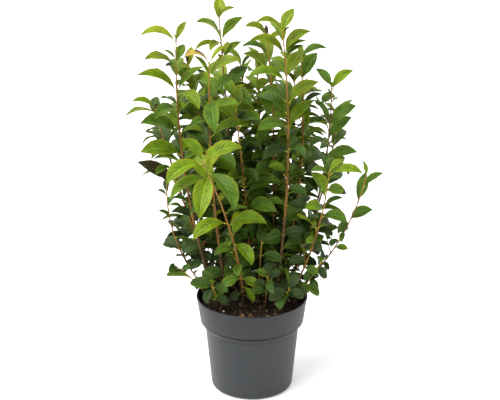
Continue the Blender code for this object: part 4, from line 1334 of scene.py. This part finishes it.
# each tone: upper face, veins, and how far the rim pales
tones = {
    "deep": ((50, 72, 34), (84, 108, 44), 0.05),
    "shade": ((65, 97, 35), (102, 134, 48), 0.1),
    "mid": ((80, 116, 30), (124, 156, 50), 0.2),
    "fresh": ((100, 136, 18), (150, 176, 46), 0.35),
    "olive": ((112, 136, 22), (166, 184, 58), 0.6),
    "lime": ((114, 146, 18), (168, 190, 56), 0.35),
    "spring": ((142, 162, 26), (190, 198, 70), 0.7),
    "yellow": ((206, 176, 80), (214, 190, 106), 0.3),
    "tipped": ((80, 114, 20), (124, 154, 42), 0.2),
    "bronze": ((58, 52, 30), (80, 72, 42), 0.1),
    "dry": ((58, 44, 28), (84, 62, 38), 0.0),
}
undersides = {
    "pale": ((142, 162, 42), (168, 182, 62), 0.3),
    "dull": ((88, 112, 24), (118, 140, 40), 0.15),
}
petioleColour = (204, 196, 58)
sheens = {"leaf": (0.38, 0.18), "rib": (0.5, 0.35), "under": (0.6, 0.12)}

# how a rule leaf's tone follows from its height and its wand; leaves on the inner wands get painted light,
# a tone lighter against the shade inside the crown
toneRule = {
    "order": ("deep", "shade", "mid", "fresh", "lime", "spring"),
    "base": 0.12,
    "byHeight": 0.54,
    "lowest": 0.2,
    "heights": 0.45,
    "wander": 0.09,
    "brightness": {"front_lime": 0.55, "front_right": 0.3, "front_left": 0.08, "front_tall": 0.06,
                   "left_tall": 0.08, "top": 0.04, "right_edge": 0.0, "left_low": -0.1},
    "brightRise": 1.6,
    "inner": ("middle", "middle_tall", "top", "right_inner", "short_left", "rear_inner"),
    # painted light: makes the inner wands' leaves lighter against the shade inside the crown
    "innerLift": 0.08,
}
leafGroups = {
    "leavesFront": ("front_lime", "front_tall", "front_left", "front_right"),
    "leavesLeft": ("left_tall", "left_side", "left_low", "short_left"),
    "leavesRight": ("right_tall", "right_edge", "right_inner"),
    "leavesMiddle": ("top", "middle", "middle_tall", "rear_inner"),
    "leavesRear": ("rear_left", "rear_middle", "rear_right", "rear_left_edge", "rear_right_edge"),
    "leavesLow": ("low_front_left", "low_front", "low_front_right", "low_left", "low_right",
                  "low_middle", "low_left_back", "low_rear_left", "low_rear_right"),
}


def leafTemplate():
    # columns are (across, share of the length, up, petiole across, petiole up, how much wider a
    # rounded leaf is there), in their own units
    form = leafForm
    rows = form["rows"]
    columns = form["columns"]
    bm = bmesh.new()
    across = bm.verts.layers.float.new("across")
    bmesh.ops.create_grid(bm, x_segments=len(columns) - 1, y_segments=len(rows) - 1, size=1)
    for vert in bm.verts:
        column = round((vert.co.x + 1) / 2 * (len(columns) - 1))
        row = round((vert.co.y + 1) / 2 * (len(rows) - 1))
        onRim = column in (0, len(columns) - 1) or row in (0, len(rows) - 1)
        vert.co = (columns[column] * form["widths"][row], rows[row], 0 if onRim else 1)
        vert[across] = columns[column]
    for face in bm.faces:
        face.material_index = 1 if abs(face.calc_center_median().x) < 0.02 else 0
    below = bmesh.ops.duplicate(bm, geom=list(bm.verts) + list(bm.edges) + list(bm.faces))["geom"]
    for part in below:
        if isinstance(part, bmesh.types.BMVert):
            ridge = form["ribRidge"] if abs(part.co.x) < 0.06 and part.co.z else 1
            part.co.z = -part.co.z * ridge
        if isinstance(part, bmesh.types.BMFace):
            part.material_index = 2 + part.material_index
    bmesh.ops.reverse_faces(bm, faces=[f for f in below if isinstance(f, bmesh.types.BMFace)])
    bmesh.ops.remove_doubles(bm, verts=bm.verts, dist=1e-5)
    spread = [vert[across] for vert in bm.verts]
    blade, faces, kinds = templateArrays(bm)
    start = form["petiole"]
    bladeData = np.zeros((len(blade), 6))
    bladeData[:, 0] = blade[:, 0]
    bladeData[:, 1] = start + (1 - start) * blade[:, 1]
    bladeData[:, 2] = blade[:, 2]
    rounder = [wide / max(narrow, 0.01)
               for wide, narrow in zip(form["roundWidths"], form["widths"])]
    bladeData[:, 5] = np.interp(blade[:, 1], rows, rounder)
    bm = bmesh.new()
    bmesh.ops.create_cone(bm, cap_ends=True, segments=form["petioleSides"], radius1=1,
                          radius2=0.8, depth=1)
    stalk, stalkFaces = templateArrays(bm)[:2]
    stalkData = np.zeros((len(stalk), 6))
    stalkData[:, 1] = (stalk[:, 2] + 0.5) * (start + 0.03)
    stalkData[:, 3:5] = stalk[:, :2]
    faces = faces + [[index + len(blade) for index in face] for face in stalkFaces]
    kinds = kinds + [4] * len(stalkFaces)
    leafMap = np.full((len(blade) + len(stalk), 2), 0.5)
    leafMap[:len(blade), 0] = 0.5 + 0.5 * np.array(spread)
    leafMap[:len(blade), 1] = blade[:, 1]
    return np.vstack((bladeData, stalkData)), faces, kinds, leafMap


def bendLeaf(template, leaf, halfWidth, fold, wave, phase, twist):
    form = leafForm
    across, share, lift, stalkAcross, stalkUp, rounder = template.T
    rounding = (halfWidth / leaf.length - form["roundFrom"]) / (form["roundTo"] - form["roundFrom"])
    across = across * (1 + (rounder - 1) * min(1, max(0, rounding)))
    bend = leaf.droop / leaf.length
    angle = leaf.rise - leaf.droop * share
    out = (math.sin(leaf.rise) - np.sin(angle)) / bend
    high = (np.cos(angle) - math.cos(leaf.rise)) / bend
    ahead = np.array((math.cos(leaf.heading), math.sin(leaf.heading), 0))
    level = np.array((-math.sin(leaf.heading), math.cos(leaf.heading), 0))
    normal = np.outer(np.cos(angle), (0, 0, 1)) - np.outer(np.sin(angle), ahead)
    centre = np.array(leaf.root) + np.outer(out, ahead) + np.outer(high, (0, 0, 1))
    roll = (leaf.roll * np.clip(share / form["rollOver"], 0, 1) + twist * share)[:, None]
    side = level * np.cos(roll) + normal * np.sin(roll)
    normal = normal * np.cos(roll) - level * np.sin(roll)
    reach = np.abs(across)
    stalk = form["petioleRadius"]
    rows = (across * halfWidth * math.cos(fold) + stalkAcross * stalk * mm)[:, None]
    ripple = wave * np.sin(share * form["waves"] + phase + np.sign(across) * 1.1) * reach
    heights = (halfWidth * (math.sin(fold) * reach ** form["foldPower"] + ripple)
               + lift * form["thickness"] * mm + stalkUp * stalk * mm)[:, None]
    return centre + side * rows + normal * heights


def veined(name, blade, rib, rim, roughness, specular):
    # a blade with side veins that lean forward and a paler rim, read from the leaf's own map
    veins = leafVeins
    low, high = driftPair(blade, veins["drift"])
    material = mottled(name, low, high, veins["blotch"], roughness, specular)
    tree = material.node_tree
    ground = shaderOf(material).inputs["Base Color"].links[0].from_socket
    place = addNode(tree, "UVMap", uv_map="leafMap").outputs["UV"]
    parts = addNode(tree, "SeparateXYZ", (("Vector", place),)).outputs
    side = mathNode(material, "SUBTRACT", parts["X"], 0.5)
    reach = mathNode(material, "MULTIPLY", mathNode(material, "ABSOLUTE", side), 2)
    drift = mathNode(material, "MULTIPLY_ADD", reach, -veins["lean"], veins["start"])
    phase = mathNode(material, "MULTIPLY_ADD", parts["Y"], veins["pairs"], drift)
    wave = mathNode(material, "PINGPONG", phase, 0.5)
    steep = mathNode(material, "MULTIPLY", wave, veins["sharpness"])
    line = mathNode(material, "SMOOTH_MIN", steep, 1, veins["softness"])
    veinShare = mathNode(material, "MULTIPLY_ADD", line, -veins["show"], veins["show"])
    withVeins = blended(material, veinShare, ground, screenColour(*rib))
    rimReach = mathNode(material, "POWER", reach, veins["rimPower"])
    rimShare = mathNode(material, "MULTIPLY", rimReach, rim)
    setBase(material, blended(material, rimShare, withVeins, screenColour(*veins["rimColour"])))
    addBump(material, line, veins["relief"], veins["depth"] * mm)
    return material


def leafMaterials():
    # the upper face and rib of each tone, then the undersides and the petiole
    materials = []
    for name, look in tones.items():
        materials.append(veined("leaf" + name.capitalize(), *look, *sheens["leaf"]))
        materials.append(tinted("rib" + name.capitalize(), look[1], *sheens["rib"]))
    for name, look in undersides.items():
        materials.append(veined("under" + name.capitalize(), *look, *sheens["under"]))
    return materials + [tinted("petiole", petioleColour, *sheens["rib"])]


def toneFor(grown, rng):
    rule = toneRule
    order = rule["order"]
    height = (grown.leaf.root.z - rule["lowest"]) / rule["heights"]
    value = rule["base"] + rule["byHeight"] * height + rng.gauss(0, rule["wander"])
    bright = rule["brightness"].get(grown.wand, 0)
    value += bright * max(0, min(1, grown.rung * rule["brightRise"]))
    # painted light: inner wands' leaves a tone lighter against the shade in the crown
    if grown.wand in rule["inner"]:
        value += rule["innerLift"]
    return order[max(0, min(len(order) - 1, int(value * len(order))))]


def leafWidths(one):
    # the least and the most half width by length
    form = leafForm
    if one.kind == "set":
        wander = form["setWander"]
        return one.leaf.wide * (1 - wander), one.leaf.wide * (1 + wander)
    if one.wand.startswith("low_") or one.kind == "main" and one.rung < form["lowRung"]:
        return form["lowWidth"]
    return form["kindWidths"][one.kind]


def makeLeaves(grown):
    form = leafForm
    template, faces, kinds, leafMap = leafTemplate()
    materials = leafMaterials()
    names = list(tones)
    dry = 2 * names.index("dry")
    petiole = len(materials) - 1
    faceRows = [float(np.mean([leafMap[index][1] for index in face])) for face in faces]
    for group, members in leafGroups.items():
        placed = []
        rng = random.Random(sum(ord(letter) for letter in group))
        for one in grown:
            if one.wand not in members:
                continue
            tone = names.index(one.tone or toneFor(one, rng))
            halfWidth = one.leaf.length * rng.uniform(*leafWidths(one))
            points = bendLeaf(template, one.leaf, halfWidth, rng.uniform(*form["fold"]),
                              rng.uniform(*form["wave"]), rng.uniform(0, 6),
                              rng.uniform(-form["twist"], form["twist"]))
            under = 2 * len(tones) + (tone <= names.index("mid"))
            lookup = (2 * tone, 2 * tone + 1, under, under, petiole)
            colours = [lookup[kind] for kind in kinds]
            for number, row in enumerate(faceRows):
                if one.tone == "tipped" and row > form["dryTip"]:
                    colours[number] = dry
                if one.tone == "yellow" and kinds[number] < 4 and rng.random() < form["drySpots"]:
                    colours[number] = dry
            placed.append((points.tolist(), faces, colours))
        mesh = joinedMesh(group, placed, materials, 26, np.tile(leafMap, (len(placed), 1)))
        finishPiece(group, mesh, ["foliage_" + name for name in members])


# Light, floor and camera

studio = {
    "worldSpread": (-0.95, -0.1, 0.4, 1.0),
    "sun": 3.4,
    "sunAngle": 55,
    "sunFrom": (-0.75, -0.45, 1.2),
    "fill": 3,
    "fillColour": (1.0, 0.9, 0.74),
    "fillPlace": (1.9, -1.0, 1.0),
    "fillAim": (0, 0, 0.3),
    "fillSize": 1.4,
    "floor": 0.95,
    "floorSize": 14,
    "floorGlow": 0.24,
    "sensor": 36,
}


def addLamp(name, kind, energy, ray):
    # a lamp that shines along the ray
    lamp = addObject(name, bpy.data.lights.new(name, kind))
    lamp.data.energy = energy
    lamp.rotation_euler = ray.to_track_quat("-Z", "Y").to_euler()
    return lamp


def makeStudio():
    scene = bpy.context.scene
    scene.view_settings.view_transform = "Standard"
    world = bpy.data.worlds.new("studioWorld")
    world.use_nodes = True
    tree = world.node_tree
    place = addNode(tree, "TexCoord").outputs["Generated"]
    depth = addNode(tree, "SeparateXYZ", (("Vector", place),)).outputs["Y"]
    spread = addNode(tree, "MapRange", [("Value", depth), *enumerate(studio["worldSpread"], 1)])
    background = tree.nodes["Background"]
    tree.links.new(spread.outputs["Result"], background.inputs["Strength"])
    background.inputs["Color"].default_value = grey(1)
    scene.world = world
    bm = bmesh.new()
    bmesh.ops.create_grid(bm, x_segments=4, y_segments=4, size=studio["floorSize"])
    white = studio["floor"]
    look = mottled("paleFloor", grey(white - 0.01), grey(white), 3, 0.9, 0.1)
    glow = shaderOf(look).inputs
    glow["Emission Color"].default_value = grey(1)
    glow["Emission Strength"].default_value = studio["floorGlow"]
    floor = addObject("floor", smoothMesh(meshFrom("floor", bm), 60, [look]))
    sun = addLamp("softSun", "SUN", studio["sun"], -Vector(studio["sunFrom"]))
    sun.data.angle = math.radians(studio["sunAngle"])
    place = Vector(studio["fillPlace"])
    fill = addLamp("fillLight", "AREA", studio["fill"], Vector(studio["fillAim"]) - place)
    fill.location = place
    fill.data.color = studio["fillColour"]
    fill.data.shape = "DISK"
    fill.data.size = studio["fillSize"]
    camera = addObject("camera", bpy.data.cameras.new("camera"))
    camera.data.lens = view["focal"] / view["width"] * studio["sensor"]
    camera.data.sensor_width = studio["sensor"]
    camera.location = view["eye"]
    camera.rotation_euler = (math.radians(view["pitch"]), 0, 0)
    scene.camera = camera


makeStudio()
makePot()
makePeat()
makePeatBits()
grown, sprigs = growPlant()
barks = barkMaterials()
makeStems(barks)
makeTwigs(barks, sprigs)
makeLeaves(grown)
